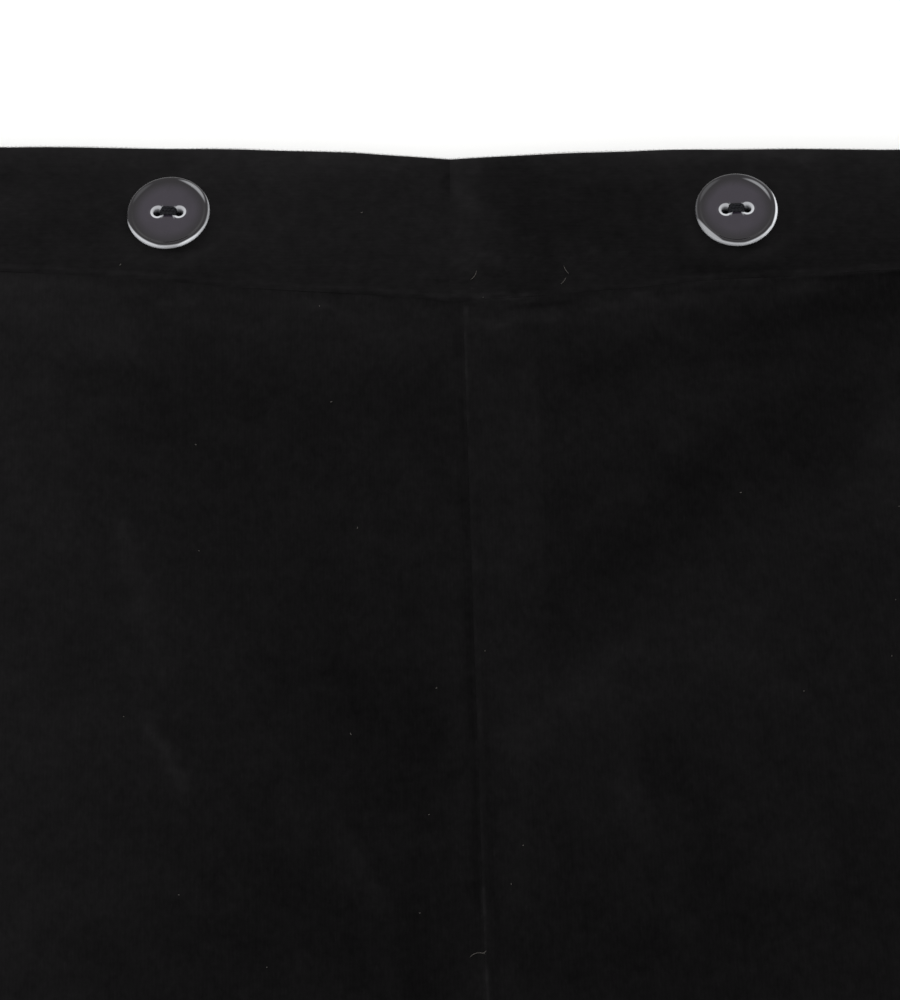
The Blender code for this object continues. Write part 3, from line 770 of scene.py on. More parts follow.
frontCloth = {
    # up to so many mm, so many cells: finer along the seams that show
    "across": [(4.0, 14), (92.0, 128), (legs["halfWidth"], 30)],
    "down": [(4.0, 16), (138.0, 190), (260.0, 36)],
    "seamRoll": 0.45, "sideRoll": 0.9, "bandRoll": 0.4, "hemRoll": 1.0,   # mm
    "seamLeast": {-1: 0.98, 1: 0.92}, "bandLeast": 0.9,      # how thin the sewn edges are pressed
    # the centre seam's turnings, pressed to the right: width, height, how far they round off
    # at the seam and slope off at their edge, and from where, over what length and by what
    # share they flatten out
    "allowance": 12.6, "allowanceRise": 0.40, "allowanceRound": 0.4, "allowanceSlope": 2.0,
    "allowanceFlat": (100, 30, 0.65),
    "ditch": {-1: (0.14, 1.7), 1: (0.06, 0.7)},              # depth and reach beside that seam
    "bandJoin": 4.0, "bandReach": 5.0,       # height that it comes to at the band's edge
    # the turnings under the band's seam: place, reach, height left and right, over what
    # length it changes, and where on the right they end
    "ridge": 1.3, "ridgeReach": 0.8, "ridgeRise": (0.04, 0.22), "ridgeTurn": 8, "ridgeEnd": (75, 20),
    "edgeDrop": 0.8,                         # share of the gap that a sewn edge closes
}
# Painted light and shade on the front beside its seams, and how its pile differs, in shades
frontShades = {
    "usual": 0.2, "strokes": 0.78,           # share that the strokes have
    "downLegs": 0.010, "legsFrom": 30, "legsTo": 180, "level": 90,   # darker by so much a mm
    # painted light along the raised turnings right of the centre seam: shades, softness of its edge, and the
    # depth from which it fades out and over what length
    "allowance": 1.1, "allowanceEdge": 1.2, "allowanceEnd": (96, 24),
    # right of the centre seam: its fold catches light here and there, with a shadow beside it
    "fold": 0.8, "foldReach": 0.5, "foldLights": ((46, 3.0), (141, 1.8), (160, 2.0)), "lightReach": 9,
    "foldShadow": (1.7, 0.9, 1.0), "shadowFrom": (55, 30),
    # left of it: a line of light, and a shadow that starts and ends
    "edge": 1.6, "edgeReach": 0.3,
    "edgeShadow": (0.7, 1.0, 2.4), "shadowStarts": (50, 50), "shadowEnds": (140, 14),
}
# Bells below the seam under the band: middle and reach in mm
seamBells = {"line": (0.0, 0.45), "below": (0.9, 0.8), "shadow": (2.1, 0.7), "turnings": (1.8, 2.4)}
# Shades of painted light and shade that the line has on top of its row, painted light that the
# turnings below it have, and by how many mm they all stray
seamLine = {"more": 0.6, "turnings": 1.3, "strays": 0.22}


def seamBell(part, distance):
    # exp(-((distance - middle) / reach)^2)
    middle, reach = seamBells[part]
    return bell(distance - middle, reach)


def bodyShadeAndNapAt(plan, side):
    # painted light and shade with brushed pile: the strokes, darker down the legs, painted light
    # along the pressed turnings, and bells of painted light and shade beside the seams
    x, depth, fromCentre = plan["x"], plan["depth"], plan["fromCentre"]
    look = frontShades
    levels = look["usual"] + look["strokes"] * brushed(x, depth, bodyShadeAndNap) + strokes(x, depth, seamMarks)
    levels -= look["downLegs"] * (np.clip(depth, look["legsFrom"], look["legsTo"]) - look["level"])
    if side > 0:
        end, over = look["allowanceEnd"]
        edge = (fromCentre - frontCloth["allowance"]) / look["allowanceEdge"] + 0.5
        levels += look["allowance"] * (1 - smoothStep(edge)) * (1 - smoothStep((depth - end) / over))
        lights = sum(more * bell(depth - at, look["lightReach"]) for at, more in look["foldLights"])
        lights = (look["fold"] + lights) * uneven(depth, 1.1, 0.7).clip(0)
        levels += lights * bell(fromCentre, look["foldReach"])
        away, reach, darker = look["foldShadow"]
        start, over = look["shadowFrom"]
        levels -= darker * bell(fromCentre - away, reach) * smoothStep((depth - start) / over)
    else:
        levels += look["edge"] * bell(fromCentre, look["edgeReach"])
        away, reach, darker = look["edgeShadow"]
        (start, rising), (end, falling) = look["shadowStarts"], look["shadowEnds"]
        lasts = smoothStep((depth - start) / rising) * (1 - smoothStep((depth - end) / falling))
        levels -= darker * lasts * bell(fromCentre - away, reach) * uneven(depth, 2.4, 0.5)
    below = depth - seamDepth(x) + seamLine["strays"] * wander(x, 0.4)
    levels += (alongSeam(x, "line") + seamLine["more"]) * seamBell("line", below) * uneven(x, 5.2, 0.5)
    levels += seamLine["turnings"] * seamBell("turnings", below)
    levels += alongSeam(x, "below") * seamBell("below", below)
    levels -= alongSeam(x, "shadow") * seamBell("shadow", below) * uneven(x, 7.9, 0.5)
    return levels


def frontHeights(plan, side, look):
    # middle height of the front: over the back by the folds' hollow, as in the solids,
    # then the pressed turnings, the ditches at the seams and the slow ripple
    x, depth, fromCentre = plan["x"], plan["depth"], plan["fromCentre"]
    thick = layerThickness(plan["v"])
    reach = cloth["edgeReach"]
    # no inseam holds the cloth down above the crotch, where it counts as ten reaches away
    toInseam = fromCentre + (1 - plan["onLeg"]) * 10 * reach
    settle = (1 - np.exp(-plan["toSide"] / reach)) * (1 - np.exp(-toInseam / reach))
    hollow = cloth["lift"] + strokes(x, depth, folds) + ripple(x, depth)
    hollow = np.clip(settle * hollow, 0, cloth["mostHollow"])
    belowBand = depth - seamDepth(x)
    underBand = (cloth["band"] - cloth["layer"]) * (1 - smoothStep(belowBand / reach))
    lift = np.maximum(hollow, underBand)
    middle = thick + cloth["gap"] + lift + thick / 2
    aboveCrotch = 1 - plan["onLeg"]
    if side > 0:
        start, over, flatter = look["allowanceFlat"]
        shelf = 1 - smoothStep((fromCentre - look["allowance"]) / look["allowanceSlope"])
        shelf = shelf * (1 - np.exp(-fromCentre / look["allowanceRound"]))
        shelf = shelf * (1 - flatter * smoothStep((depth - start) / over))
        middle = middle + look["allowanceRise"] * shelf * aboveCrotch
    ditch, ditchReach = look["ditch"][side]
    middle = middle - ditch * np.exp(-fromCentre / ditchReach) * aboveCrotch
    join = bell(belowBand, look["bandReach"])
    middle = middle + join * (look["bandJoin"] - look["bandLeast"] * thick / 2 - middle)
    (left, right), (end, over) = look["ridgeRise"], look["ridgeEnd"]
    rise = (left + (right - left) * smoothStep(x / look["ridgeTurn"])) * (1 - smoothStep((x - end) / over))
    middle = middle + rise * bell(belowBand - look["ridge"], look["ridgeReach"])
    sewn = sewnEdges(plan, look["sideRoll"])
    middle = middle - (1 - sewn) * (thick / 2 + look["edgeDrop"] * cloth["gap"] + lift)
    thick = thick * sewn * rolled(plan["toHem"], look["hemRoll"])
    thick = thick * pressed(plan["fromBand"], look["bandRoll"], look["bandLeast"])
    centre = pressed(fromCentre, look["seamRoll"], look["seamLeast"][side])
    return middle, thick * (1 - aboveCrotch * (1 - centre))


def makeFront(name, node, side, look):
    # half the front on its plan: as high as frontHeights says and as light as bodyShadeAndNapAt says
    across = unevenShares(legs["halfWidth"], (look["seamRoll"], look["sideRoll"]), look["across"])
    down = unevenShares(bodyLength, (look["bandRoll"], look["hemRoll"]), look["down"])
    plan = panelPlan(side, across, down)
    middle, thick = frontHeights(plan, side, look)
    grain = np.stack((plan["local"], plan["depth"], np.full_like(middle, 5.0 * side)), axis=-1)
    return clothWall(name, node, "cord", plan, middle, thick, grain, bodyShadeAndNapAt(plan, side))


fronts = {
    "left": makeFront("front_cloth_left", "front_left", -1, frontCloth),
    "right": makeFront("front_cloth_right", "front_right", 1, frontCloth),
}
print("front panels laid")


# Back panels

backCloth = {"across": [(legs["halfWidth"], 40)], "down": [(260.0, 70)], "roll": 0.8, "least": 0.6}


def makeBack(name, node, side, look):
    # flat below, one layer thick, with a thicker turned hem; its upper side stays level
    # where the edges roll up to the front's
    roll = look["roll"]
    across = unevenShares(legs["halfWidth"], (roll, roll), look["across"], 3)
    down = unevenShares(bodyLength, (roll, roll), look["down"], 3)
    plan = panelPlan(side, across, down)
    thick = layerThickness(plan["v"])
    sewn = sewnEdges(plan, roll)
    middle = thick / 2 + (1 - sewn) * thick / 2
    edges = sewn * rolled(plan["toHem"], roll) * rolled(plan["fromBand"], roll, look["least"])
    edges = edges * (1 - (1 - plan["onLeg"]) * (1 - rolled(plan["fromCentre"], roll, look["least"])))
    grain = np.stack((plan["local"], plan["depth"], np.full_like(thick, 11.0 * side)), axis=-1)
    return clothWall(name, node, "cord", plan, middle, thick * edges, grain, np.zeros_like(thick))


backs = {
    "left": makeBack("back_cloth_left", "back_left", -1, backCloth),
    "right": makeBack("back_cloth_right", "back_right", 1, backCloth),
}
print("back panels laid")


# Waistband

bandCloth = {
    "across": [(3.0, 8), (92.0, 130), (waist["halfWidth"], 24)], "down": [(25.0, 26), (31.0, 28)],
    "backAcross": [(waist["halfWidth"], 48)], "backDown": [(31.0, 12)],
    "topRoll": 1.0, "seamRoll": 1.4, "middleRoll": 0.3, "sideRoll": 1.0,   # mm
    # shares: of the thickness at the pressed seam, of the gap that a sewn edge closes, and of
    # the body's ripple
    "seamLeast": 0.74, "edgeDrop": 0.5, "ripple": 0.4,
    "usual": 2.9, "strokes": 0.8, "downBand": 0.05, "level": 10, "back": 2.0,      # shades
    # the upper edge catches light from behind
    "topShades": 4.6, "topReach": 2.6, "foldShades": 8.0, "foldReach": 0.55,
    # the light line above the seam: how far above it, how much less on the right, by how
    # much it strays, and reach
    "edgeAbove": 0.95, "edgeLess": 0.2, "edgeStrays": 0.2, "edgeReach": 0.42,
    # the left half's end is dark at the notch: shades and reach, and where down it stops
    "endShades": 3.6, "endReach": 1.4, "endDown": (6, 5),
    # painted light round the buttons that fills their shadow: shades, reach, the share that it
    # has more on the side away from the light, and where that side is, in x and depth
    "shadowFill": 5.4, "shadowFillReach": 3.4, "shadowFillMore": 0.14, "shadowFillSide": (0.94, 0.34),
}


def bandPlan(side, across, down):
    # x and depth of half a waistband between its upper edge and its seam
    v, u = np.meshgrid(down, across, indexing="ij")
    half = sideWidth(v * seamSideDepth)
    x = side * u * half
    depth = (1 - v) * topDepth(x) + v * seamDepth(x)
    tall = seamDepth(x) - topDepth(x)
    return {"x": x, "depth": depth, "v": v, "fromMiddle": u * half, "toSide": (1 - u) * half,
            "fromTop": v * tall, "toSeam": (1 - v) * tall}


def makeFrontBand(name, node, side, look):
    # half the band: thickness + crown * 4v(1 - v), rolled at its free edges and pressed flat at
    # its seam; painted light and shade with brushed pile: the strokes, lighter at the upper edge,
    # painted light round the buttons, the seam's light lines, and dark at the left half's end
    across = unevenShares(waist["halfWidth"], (look["middleRoll"], look["sideRoll"]), look["across"])
    down = unevenShares(waist["bandDepth"], (look["topRoll"], look["seamRoll"] / 4), look["down"])
    plan = bandPlan(side, across, down)
    x, depth, toSeam = plan["x"], plan["depth"], plan["toSeam"]
    thick = cloth["band"] + cloth["crown"] * 4 * plan["v"] * (1 - plan["v"])
    middle = cloth["band"] + cloth["gap"] + thick / 2 + look["ripple"] * ripple(x * 1.3, depth * 2)
    sewn = rolled(plan["toSide"], look["sideRoll"])
    middle = middle - (1 - sewn) * (thick / 2 + look["edgeDrop"] * cloth["gap"])
    thick = thick * sewn * rolled(plan["fromTop"], look["topRoll"])
    thick = thick * pressed(toSeam, look["seamRoll"], look["seamLeast"])
    shadeAndNap = look["usual"] + look["strokes"] * brushed(x, depth, bandShadeAndNap) + strokes(x, depth, seamMarks)
    shadeAndNap -= look["downBand"] * (depth - look["level"])
    shadeAndNap += look["topShades"] * np.exp(-plan["fromTop"] / look["topReach"])
    shadeAndNap += look["foldShades"] * bell(plan["fromTop"], look["foldReach"])
    above = look["edgeAbove"] - look["edgeLess"] * smoothStep(x / 20) + look["edgeStrays"] * wander(x, 0.4)
    shadeAndNap += alongSeam(x, "above") * uneven(2 * x, 9.1, 0.4) * bell(toSeam - above, look["edgeReach"])
    shadeAndNap += alongSeam(x, "line") * seamBell("line", toSeam) * uneven(x, 5.2, 0.5)
    if side < 0:
        end, over = look["endDown"]
        dark = look["endShades"] * bell(plan["fromMiddle"], look["endReach"])
        shadeAndNap -= dark * (1 - smoothStep((depth - end) / over))
    # painted light round each button that fills its shadow, more on the side away from the light
    for placeX, placeD in buttons["places"].values():
        awayX, awayD = x - placeX, depth - placeD
        away = np.hypot(awayX, awayD)
        sideX, sideD = look["shadowFillSide"]
        shaded = (sideX * awayX + sideD * awayD) / (away + 0.1)
        outside = np.clip(away - buttons["radius"] + 0.1, 0, None)
        fillLight = look["shadowFill"] * (1 - look["shadowFillMore"] * (1 - shaded))
        shadeAndNap += fillLight * bell(outside, look["shadowFillReach"])
    grain = np.stack((depth, x, np.full_like(middle, 3.0 * side)), axis=-1)
    return clothWall(name, node, "band_cord", plan, middle, thick, grain, shadeAndNap)


def makeBackBand(name, node, look):
    # one piece from side to side: the two halves' plans, joined in the middle
    roll = (look["topRoll"], look["topRoll"])
    across = unevenShares(waist["halfWidth"], (look["sideRoll"], look["sideRoll"]), look["backAcross"], 3)
    across = np.concatenate(([0.0], across[4:]))      # less the rolled edge's first four
    down = unevenShares(waist["bandDepth"], roll, look["backDown"], 3)
    left, right = bandPlan(-1, across[:0:-1], down), bandPlan(1, across, down)
    plan = {key: np.concatenate((left[key], right[key]), axis=1) for key in right}
    plan["depth"] = plan["depth"] + waist["backDrop"] * (1 - plan["v"])
    sewn = rolled(plan["toSide"], look["sideRoll"])
    thick = cloth["band"] * sewn * rolled(plan["fromTop"], look["topRoll"])
    thick = thick * rolled(plan["toSeam"], look["topRoll"], look["seamLeast"])
    middle = cloth["band"] / 2 * (2 - sewn)
    grain = np.stack((plan["depth"], plan["x"], np.full_like(thick, 7.0)), axis=-1)
    shadeAndNap = np.full_like(thick, look["back"])
    return clothWall(name, node, "band_cord", plan, middle, thick, grain, shadeAndNap)


bands = {
    "left": makeFrontBand("band_cloth_front_left", "waistband_front_left", -1, bandCloth),
    "right": makeFrontBand("band_cloth_front_right", "waistband_front_right", 1, bandCloth),
    "back": makeBackBand("band_cloth_back", "waistband_back", bandCloth),
}
print("waistband laid")


# Buttons

def buttonRows(look):
    # radius and height of the turned rim: an S from the sunk face up to the crest, a
    # quarter ellipse out to the widest line, another in to the tuck, and on to the sole
    crest, outer, thick = look["crestRadius"], look["radius"], look["thick"]
    widest = thick - look["crestHeight"]
    t = np.linspace(0, 1, 9)
    flat = look["flatRadius"]
    rise = np.stack((flat + (crest - flat) * t, thick - look["sink"] * (1 - smoothStep(t))), axis=-1)
    turn = np.radians(np.linspace(90, 0, 11))[1:]
    over = crest + (outer - crest) * np.cos(turn), widest + look["crestHeight"] * np.sin(turn)
    turn = np.radians(np.linspace(0, 90, 7))[1:]
    inward = (outer - look["tuckRadius"]) * (1 - np.cos(turn))
    under = outer - inward, widest - look["tuckHeight"] * np.sin(turn)
    return np.concatenate((rise, np.transpose(over), np.transpose(under), [(look["soleRadius"], 0.0)]))


def paintedRimHighlights(points, marks):
    # painted highlights on the thin rim: each mark is the direction of its middle, its half
    # width in degrees, the radii between which it lies, and its strength; it narrows to
    # nothing at both ends
    radius = np.hypot(points[:, 0], points[:, 1])
    direction = np.degrees(np.arctan2(points[:, 1], points[:, 0]))
    total = np.zeros(len(points))
    for middle, half, low, high, strength in marks:
        away = np.clip(np.abs((direction - middle + 180) % 360 - 180) / half, 0, 1)
        wide = (high - low) / 2 * (1 - away**2)
        band = smoothStep((wide - np.abs(radius - (low + high) / 2)) / 0.2 + 0.5)
        total = np.maximum(total, strength * (1 - away**4) * band)
    return total


def turned(x, y, degrees):
    # x cos - y sin, x sin + y cos
    c, s = math.cos(math.radians(degrees)), math.sin(math.radians(degrees))
    return x * c - y * s, x * s + y * c


def hung(x, y, z, place, hang, foot):
    # mm on the cloth of a button's own places: it lies on its low corner, tilted, and has
    # slipped a little on its thread
    slopeX, slopeY, slipX, slipD = hang[1:]
    lean = slopeX * (x + buttons["soleRadius"]) + slopeY * (y + buttons["soleRadius"])
    return x + place[0] + slipX, place[1] + slipD - y, z + foot + lean


def buttonGrids(look):
    # each half of the face is fanned out from its hole to the straight line between the
    # holes and to half of the flat face's circle, where the turned rim's rows take over
    spread, hole, flat, chamfer = (look[k] for k in ("holeSpread", "holeRadius", "flatRadius", "chamfer"))
    face = look["thick"] - look["sink"]
    corner = math.atan2(flat, -spread)
    arc = np.linspace(-corner, corner, 91)
    line = np.linspace(corner, 2 * math.pi - corner, 25)[1:-1]
    angle = np.concatenate((arc, line))
    toward = np.stack((np.cos(angle), np.sin(angle)), axis=-1)
    along = spread * toward[:, 0]
    reach = np.sqrt(along**2 - spread**2 + flat**2) - along
    reach[len(arc):] = -spread / toward[len(arc):, 0]

    def ring(radius, height):
        # hole's centre + direction * radius
        level = np.array([spread, 0.0]) + toward * np.broadcast_to(radius, angle.shape)[:, None]
        return np.concatenate((level, np.full((len(angle), 1), height)), axis=-1)

    start, depth = hole + chamfer, look["chamferDepth"]
    rings = [ring(hole, 0.0), ring(hole, face * 0.4), ring(hole, face - depth - 0.08)]
    for bend in np.linspace(0, math.pi / 2, 6):
        rings.append(ring(hole + chamfer * (1 - math.cos(bend)), face - depth * (1 - math.sin(bend))))
    rings += [ring(start + (reach - start) * t, face) for t in (0.04, 0.2, 0.4, 0.6, 0.8, 1.0)]
    faceGrid = np.stack(rings)
    bound = faceGrid[-1][:len(arc), :2] / flat
    rows = buttonRows(look)
    heights = np.broadcast_to(rows[:, None, 1:], (len(rows), len(arc), 1))
    rimGrid = np.concatenate((bound[None] * rows[:, None, :1], heights), axis=-1)
    soleBound = faceGrid[-1] * (look["soleRadius"] / flat, look["soleRadius"] / flat, 0)
    return (faceGrid, True), (rimGrid, False), (np.stack((soleBound, faceGrid[0])), True)


def holeLight(points, look):
    # painted highlight rings round the holes' chamfers, weaker towards the waist, and on their far walls
    face = look["thick"] - look["sink"]
    fromHole = np.hypot(np.abs(points[:, 0]) - look["holeSpread"], points[:, 1]) - look["holeRadius"]
    upward = points[:, 1] / (fromHole + look["holeRadius"] + 0.01)
    outside = fromHole - look["chamfer"]
    light = look["holeLight"] - look["holeLess"] * upward
    light = light * (1 - smoothStep((outside - 0.03) / 0.1)) * (outside < 0.3)
    wall = points[:, 2] < face - look["chamferDepth"] - 0.01
    onWall = smoothStep((upward - 0.1) / 0.7) * np.clip(points[:, 2] / face, 0, 1)
    return np.where(wall, light * onWall, light)


def makeButton(name, node, place, turn, hang, marks, look):
    # both mirrored halves of the grids, turned, given painted highlights and a painted
    # reflection, and hung
    points, faces, base = [], [], 0
    for grid, closed in buttonGrids(look):
        for mirror in (1, -1):
            points.append((grid * (mirror, mirror, 1)).reshape(-1, 3))
            faces.append(quads(*grid.shape[:2], closed) + base)
            base += grid.shape[0] * grid.shape[1]
    points = np.concatenate(points)
    x, y = turned(points[:, 0], points[:, 1], turn)
    # painted reflection: lighter in the middle of the face, changing to the right and up
    slopeX, slopeY = look["dishSlope"]
    dish = 1 - smoothStep((np.hypot(x, y) - look["dish"]) / look["dishOver"])
    dish = dish * (1 + slopeY * y + slopeX * x)
    # painted highlights round the holes and on the rim
    edge = np.maximum(holeLight(points, look), paintedRimHighlights(np.stack((x, y), axis=-1), marks))
    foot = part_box(node)[0][2] / mm
    world = toWorld(*hung(x * hang[0], y * hang[0], points[:, 2], place, hang, foot))
    obj = newObject(name, world, np.concatenate(faces).tolist(), resin)
    addValues(obj, "edge", edge, "FLOAT")
    addValues(obj, "dish", dish, "FLOAT")
    facesOutward(obj, merge=0.002 * mm)
    obj.data.shade_smooth()
    obj.data.set_sharp_from_angle(angle=math.radians(50))
    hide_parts(node)
    return obj


def tubes(name, paths, radius, sides, material, over=(0.0, 0.0, 1.0)):
    # round cords along paths shaped (cords, points, 3) in mm: circles square to each path,
    # drawn in at both ends
    step = np.gradient(paths, axis=1)
    step /= np.linalg.norm(step, axis=-1, keepdims=True)
    first = np.cross(step, np.array(over))
    first /= np.linalg.norm(first, axis=-1, keepdims=True)
    second = np.cross(step, first)
    angle = np.linspace(0, 2 * math.pi, sides, endpoint=False)
    circle = np.cos(angle)[:, None] * first[..., None, :] + np.sin(angle)[:, None] * second[..., None, :]
    count, length = paths.shape[:2]
    taper = np.ones(length)
    taper[[0, -1]] = 0.4
    points = (paths[..., None, :] + radius * taper[None, :, None, None] * circle).reshape(-1, 3)
    base = np.arange(count)[:, None, None] * length * sides
    walls = (quads(length, sides, closed=True)[None] + base).reshape(-1, 4)
    caps = np.stack((np.arange(sides)[::-1], (length - 1) * sides + np.arange(sides)))
    faces = walls.tolist() + (caps[None] + base).reshape(-1, sides).tolist()
    obj = newObject(name, toWorld(*points.T), faces, material)
    run = np.cumsum(np.linalg.norm(np.diff(paths, axis=1), axis=-1), axis=1)
    run = np.concatenate((np.zeros((count, 1)), run), axis=1)[..., None]
    cord = np.arange(count)[:, None, None] * 1.7
    twist = np.stack(np.broadcast_arrays(run, angle / (2 * math.pi), cord), axis=-1)
    addValues(obj, "twist", twist, "FLOAT_VECTOR")
    facesOutward(obj)
    return obj


threadLook = {"radius": 0.18, "strands": 8, "width": 1.45, "over": 0.26, "points": 25, "inside": 0.56}


def makeButtonThread(name, place, turn, hang, look):
    # strands that rise out of one hole, cross the bridge in a low arch and go down the other
    t = np.linspace(0, 1, look["points"])
    k = np.arange(look["strands"])[:, None]
    aside = (k / (look["strands"] - 1) - 0.5) * look["width"]
    slack = 0.05 * np.sin(k * 2.4) + 0.03 * np.cos(k * 5.1)
    top = buttons["thick"] - buttons["sink"] + look["over"] + 0.10 * np.cos(k * 3.3)
    u = (t - 0.5) * 2
    x = np.sign(u) * (1 - (1 - np.abs(u)) ** 2.0) * (buttons["holeSpread"] - look["inside"] + slack)
    z = (top + 0.5) * np.clip(1 - np.abs(u) ** 5, 0, 1) - 0.5
    y = aside * (1 - 0.45 * np.abs(u) ** 3) + 0.12 * np.sin(k * 1.9 + 3 * t)
    path = hung(*turned(x, y, turn), z, place, hang, leftLow[2] / mm)
    paths = np.stack(np.broadcast_arrays(*path), axis=-1)
    return tubes(name, paths, look["radius"], 8, thread, over=(0.0, 1.0, 0.0))


# Painted highlights on the rims: direction and half width in degrees, radii, strength; the
# light comes from the upper left
rimHighlightMarks = {
    "left": (
        (-128, 58, 7.05, 8.3, 0.60), (-92, 70, 7.15, 8.3, 0.46), (-42, 60, 7.15, 8.3, 0.62),
        (-4, 60, 7.1, 8.3, 0.38), (-57, 26, 7.12, 7.6, 0.84), (-147, 20, 7.3, 8.3, 0.76),
        (44, 34, 6.45, 6.95, 0.28), (140, 26, 6.4, 6.85, 0.04), (100, 140, 7.15, 8.3, 0.06),
    ),
    "right": (
        (-136, 34, 6.7, 8.4, 0.36), (-105, 80, 7.15, 8.3, 0.46), (-50, 66, 7.1, 8.3, 0.60),
        (-4, 52, 6.98, 8.3, 0.98), (-38, 24, 7.1, 7.7, 0.80), (-140, 28, 7.6, 8.4, 0.50),
        (47, 34, 6.2, 6.6, 0.26), (45, 80, 6.9, 8.3, 0.08), (142, 30, 6.4, 6.9, 0.05),
        (180, 50, 7.1, 8.3, 0.07), (100, 80, 7.1, 8.3, 0.04),
    ),
}
for label, place in buttons["places"].items():
    turn, hang = buttons["turns"][label], buttons["hangs"][label]
    makeButton(f"resin_button_{label}", f"button_{label}", place, turn, hang, rimHighlightMarks[label], buttons)
    makeButtonThread(f"button_thread_{label}", place, turn, hang, threadLook)
print("buttons sewn on")


# Lint and the hems' stitching

def heightOn(obj, x, depth):
    # height in mm of the piece's upper side at places on it, from its nearest points
    points = np.empty(len(obj.data.vertices) * 3)
    obj.data.vertices.foreach_get("co", points)
    upper = points.reshape(-1, 3)[:len(obj.data.vertices) // 2] / mm
    awayX = upper[:, 0] - originX - np.ravel(x)[:, None]
    awayD = originY - upper[:, 1] - np.ravel(depth)[:, None]
    return upper[np.hypot(awayX, awayD).argmin(axis=1), 2].reshape(np.shape(x))


def clothUnder(x, depth):
    # the piece that lies on top there: front below the band's seam, left or right of the middle
    middle = legs["seamOffset"] + legs["seamDrift"] * max(depth - waist["bandDepth"], 0)
    return (fronts if depth > seamDepth(x) else bands)["left" if x < middle else "right"]


lint = {
    # x, depth, direction in degrees, length and bend in mm
    "fibres": [
        (-20.4, 51.4, 20, 0.42, 0.1), (-15.6, 76.0, 70, 0.36, 0.1), (-43.5, 59.9, -30, 0.3, 0.05),
        (49.9, 68.5, 10, 0.34, 0.1), (6.1, 99.6, 80, 0.24, 0.05), (-2.0, 106.6, 40, 0.32, 0.1),
        (-16.1, 114.9, -60, 0.36, 0.1), (59.1, 108.1, 0, 0.26, 0.05), (74.1, 100.9, 90, 0.3, 0.05),
        (-15.6, 12.2, 15, 0.4, 0.1), (-58.0, 23.1, 60, 0.45, 0.1), (-4.5, 147.6, 10, 0.26, 0.05),
        (-43.6, 145.1, 0, 0.24, 0.05), (-3.1, 130.3, 30, 0.22, 0.05), (-22.8, 31.7, 90, 0.24, 0.05),
        (10.3, 142.9, 90, 0.3, 0.05), (12.3, 136.1, 20, 0.22, 0.05), (-53.8, 112.8, 0, 0.2, 0.05),
        (5.9, 29.5, 10, 0.2, 0.02), (-42.3, 81.0, -20, 0.2, 0.02), (76.6, 72.5, 90, 0.2, 0.02),
        (75.2, 90.6, 90, 0.2, 0.02), (-29.0, 158.1, 0, 0.2, 0.02),
        (4.2, 25.2, 62, 2.2, 0.25), (20.5, 24.0, -62, 1.9, 0.1), (20.0, 26.2, 56, 1.7, 0.1),
        (4.9, 155.2, 12, 2.6, -0.5), (6.0, 154.4, 45, 0.9, 0.2),
    ],
    "speck": 0.085, "hair": 0.065,           # thickness of the short ones and of the long
    "hairFrom": 0.6,                         # length of the shortest long one
}
rows = np.array(lint["fibres"])
surface = np.array([heightOn(clothUnder(*place), *place) for place in rows[:, :2]])[:, None]
t = np.linspace(-0.5, 0.5, 7)
turnX, turnD = np.cos(np.radians(rows[:, 2:3])), -np.sin(np.radians(rows[:, 2:3]))
alongFibre, bent = rows[:, 3:4] * t, rows[:, 4:5] * (1 - 4 * t**2)
x = rows[:, 0:1] + turnX * alongFibre - turnD * bent
depth = rows[:, 1:2] + turnD * alongFibre + turnX * bent
paths = np.stack(np.broadcast_arrays(x, depth, surface + lint["speck"]), axis=-1)
long = rows[:, 3] >= lint["hairFrom"]
for label, kept in (("speck", ~long), ("hair", long)):
    tubes(f"lint_{label}s", paths[kept], lint[label], 5, lintFibre)

# Pile that stands out over the waist's upper edge, and softens its outline; mm, one fibre
# for every few real ones
edgeNap = {
    "span": 131, "pitch": 0.07, "length": 0.32, "radius": 0.03, "start": 1.5,
    "root": 0.12, "droop": 0.3,              # starts so far inside, and bends down by that share
}
count = int(2 * edgeNap["span"] / edgeNap["pitch"])
k = np.arange(count)[:, None]
x = edgeNap["span"] * ((2 * k + 1) / count - 1) + 0.06 * np.sin(k * 2.4)
longer = edgeNap["length"] * (0.7 + 0.3 * np.sin(k * 1.7)) * uneven(x, 1.9, 0.12)
outward = longer * np.linspace(0, 1, 3)
root = cloth["band"] + cloth["gap"] + edgeNap["start"] + 0.15 * np.sin(k * 3.3)
paths = np.stack((x + 0.7 * np.sin(k * 5.1) * outward, topDepth(x) + edgeNap["root"] - outward,
                  root - edgeNap["droop"] * outward), axis=-1)
tubes("edge_nap", paths, edgeNap["radius"], 3, thread)

hemStitch = {
    "above": 17.0, "length": 2.6, "pitch": 3.1, "radius": 0.22, "sunk": 0.10, "arch": 0.12,    # mm
    "run": 160, "legWidth": 170, "from": 0.03, "share": 0.94,      # of a leg's width at the hem
}
for label, side in (("left", -1), ("right", 1)):
    count = int(hemStitch["run"] / hemStitch["pitch"])
    middle = hemStitch["from"] + hemStitch["share"] * (np.arange(count) + 0.5) / count
    t = np.linspace(-0.5, 0.5, 5)
    shares = middle[:, None] + t * hemStitch["length"] / hemStitch["legWidth"]
    level = panelPlan(side, shares.ravel(), np.array([1 - hemStitch["above"] / bodyLength]))
    x, depth = level["x"].reshape(shares.shape), level["depth"].reshape(shares.shape)
    z = heightOn(fronts[label], x, depth) - hemStitch["sunk"] + hemStitch["arch"] * (1 - 4 * t**2)
    tubes(f"hem_stitching_{label}", np.stack((x, depth, z), axis=-1), hemStitch["radius"], 6, thread)
print("stitching and lint are on")


# Floor, light and camera

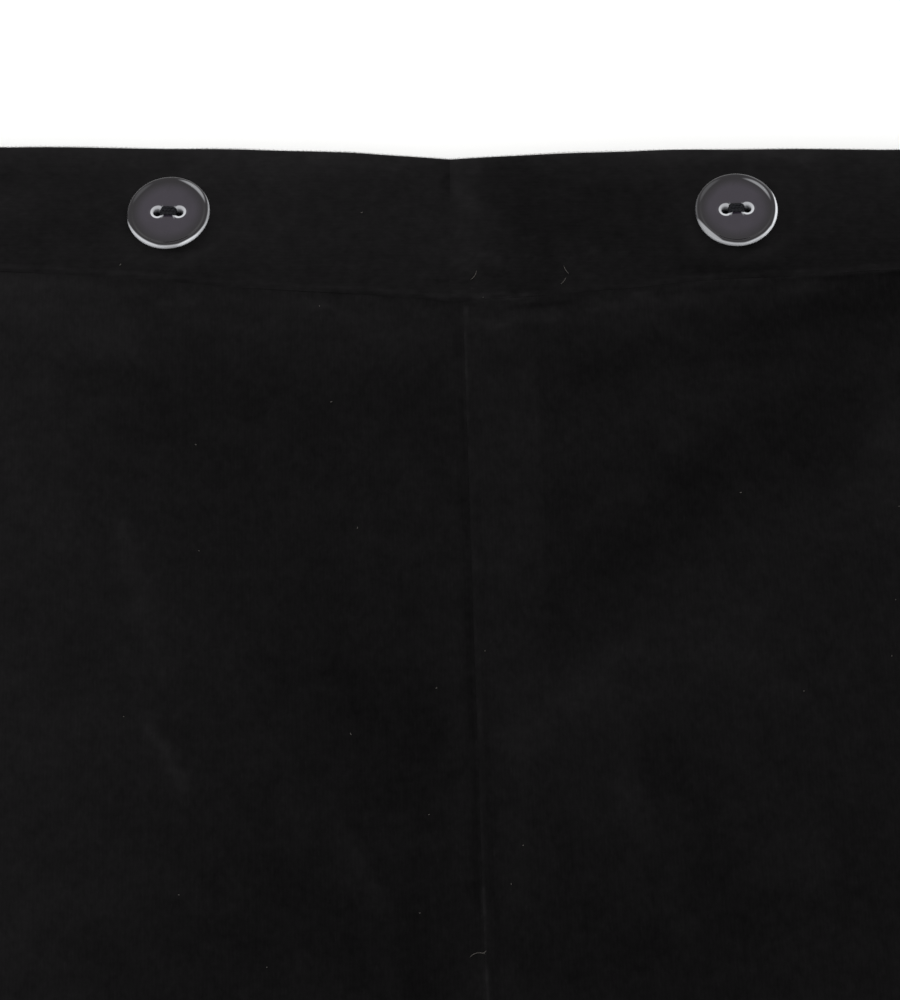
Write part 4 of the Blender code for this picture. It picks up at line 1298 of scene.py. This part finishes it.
studio = {
    "floorSize": 9.0, "floorDown": 0.0002,   # m
    "floor": "#f9f9f8", "world": 0.85,
    # place in m from the notch, size in m, watts
    "boxes": {
        "left": ((-1.05, -0.25, 0.95), (0.38, 0.38), 7.2),
        "front": ((0.35, -1.25, 0.75), (1.3, 0.14), 6.5),
        "right": ((1.05, 0.70, 0.62), (0.30, 0.30), 3.1),
    },
}

half, low = studio["floorSize"] / 2, -studio["floorDown"]
corners = [(-half, -half, low), (half, -half, low), (half, half, low), (-half, half, low)]
floorMesh = bpy.data.meshes.new("floor")
floorMesh.from_pydata(corners, [], [(0, 1, 2, 3)])
floorPaint, tree, shader = newMaterial("matt white paper")
shader.inputs["Base Color"].default_value = linearColour(studio["floor"])
shader.inputs["Roughness"].default_value = 0.9
floorMesh.materials.append(floorPaint)
placed("floor", floorMesh)

world = bpy.data.worlds.new("studio")
world.use_nodes = True
world.node_tree.nodes["Background"].inputs["Color"].default_value = (1.0, 1.0, 1.0, 1.0)
world.node_tree.nodes["Background"].inputs["Strength"].default_value = studio["world"]
bpy.context.scene.world = world

notch = toWorld(0, 0, cloth["band"] * 2 + cloth["gap"])
for label, (offset, size, watts) in studio["boxes"].items():
    light = bpy.data.lights.new(f"softbox {label}", "AREA")
    light.shape = "RECTANGLE"
    light.size, light.size_y = size
    light.energy = watts
    lamp = placed(f"softbox {label}", light)
    lamp.location = notch + np.array(offset)
    lamp.rotation_mode = "QUATERNION"
    lamp.rotation_quaternion = Vector(-np.array(offset)).to_track_quat("-Z", "Y")
    lamp.visible_camera = False
    lamp.visible_glossy = False

view = {
    "elevation": 60.0,        # degrees above the cloth, from the hems' side
    "roll": 0.18,             # degrees; the picture's right side hangs by this much
    "distance": 0.8,          # m to the notch
    "pixelsPerMm": 5.6,       # at the notch
    "notchPixel": (450, 157.4), "frame": (900, 1000), "sensor": 36.0,
}

focal = view["pixelsPerMm"] / mm * view["distance"]      # in pixels
tilt, roll = math.radians(view["elevation"]), math.radians(view["roll"])
ahead = np.array([0.0, math.cos(tilt), -math.sin(tilt)])
upright = np.array([0.0, math.sin(tilt), math.cos(tilt)])
level = np.array([1.0, 0.0, 0.0])
upward = upright * math.cos(roll) - level * math.sin(roll)
rightward = level * math.cos(roll) + upright * math.sin(roll)
above = (view["frame"][1] / 2 - view["notchPixel"][1]) / focal * view["distance"]
cameraData = bpy.data.cameras.new("camera")
cameraData.sensor_width = view["sensor"]
cameraData.lens = focal / view["frame"][1] * view["sensor"]
camera = placed("camera", cameraData)
axes = Matrix([[*axis] for axis in np.stack((rightward, upward, -ahead), axis=-1)])
camera.location = notch - ahead * view["distance"] - upward * above
camera.rotation_mode = "QUATERNION"
camera.rotation_quaternion = axes.to_quaternion()
bpy.context.scene.camera = camera
bpy.context.scene.view_settings.view_transform = "Standard"
print("studio is set")
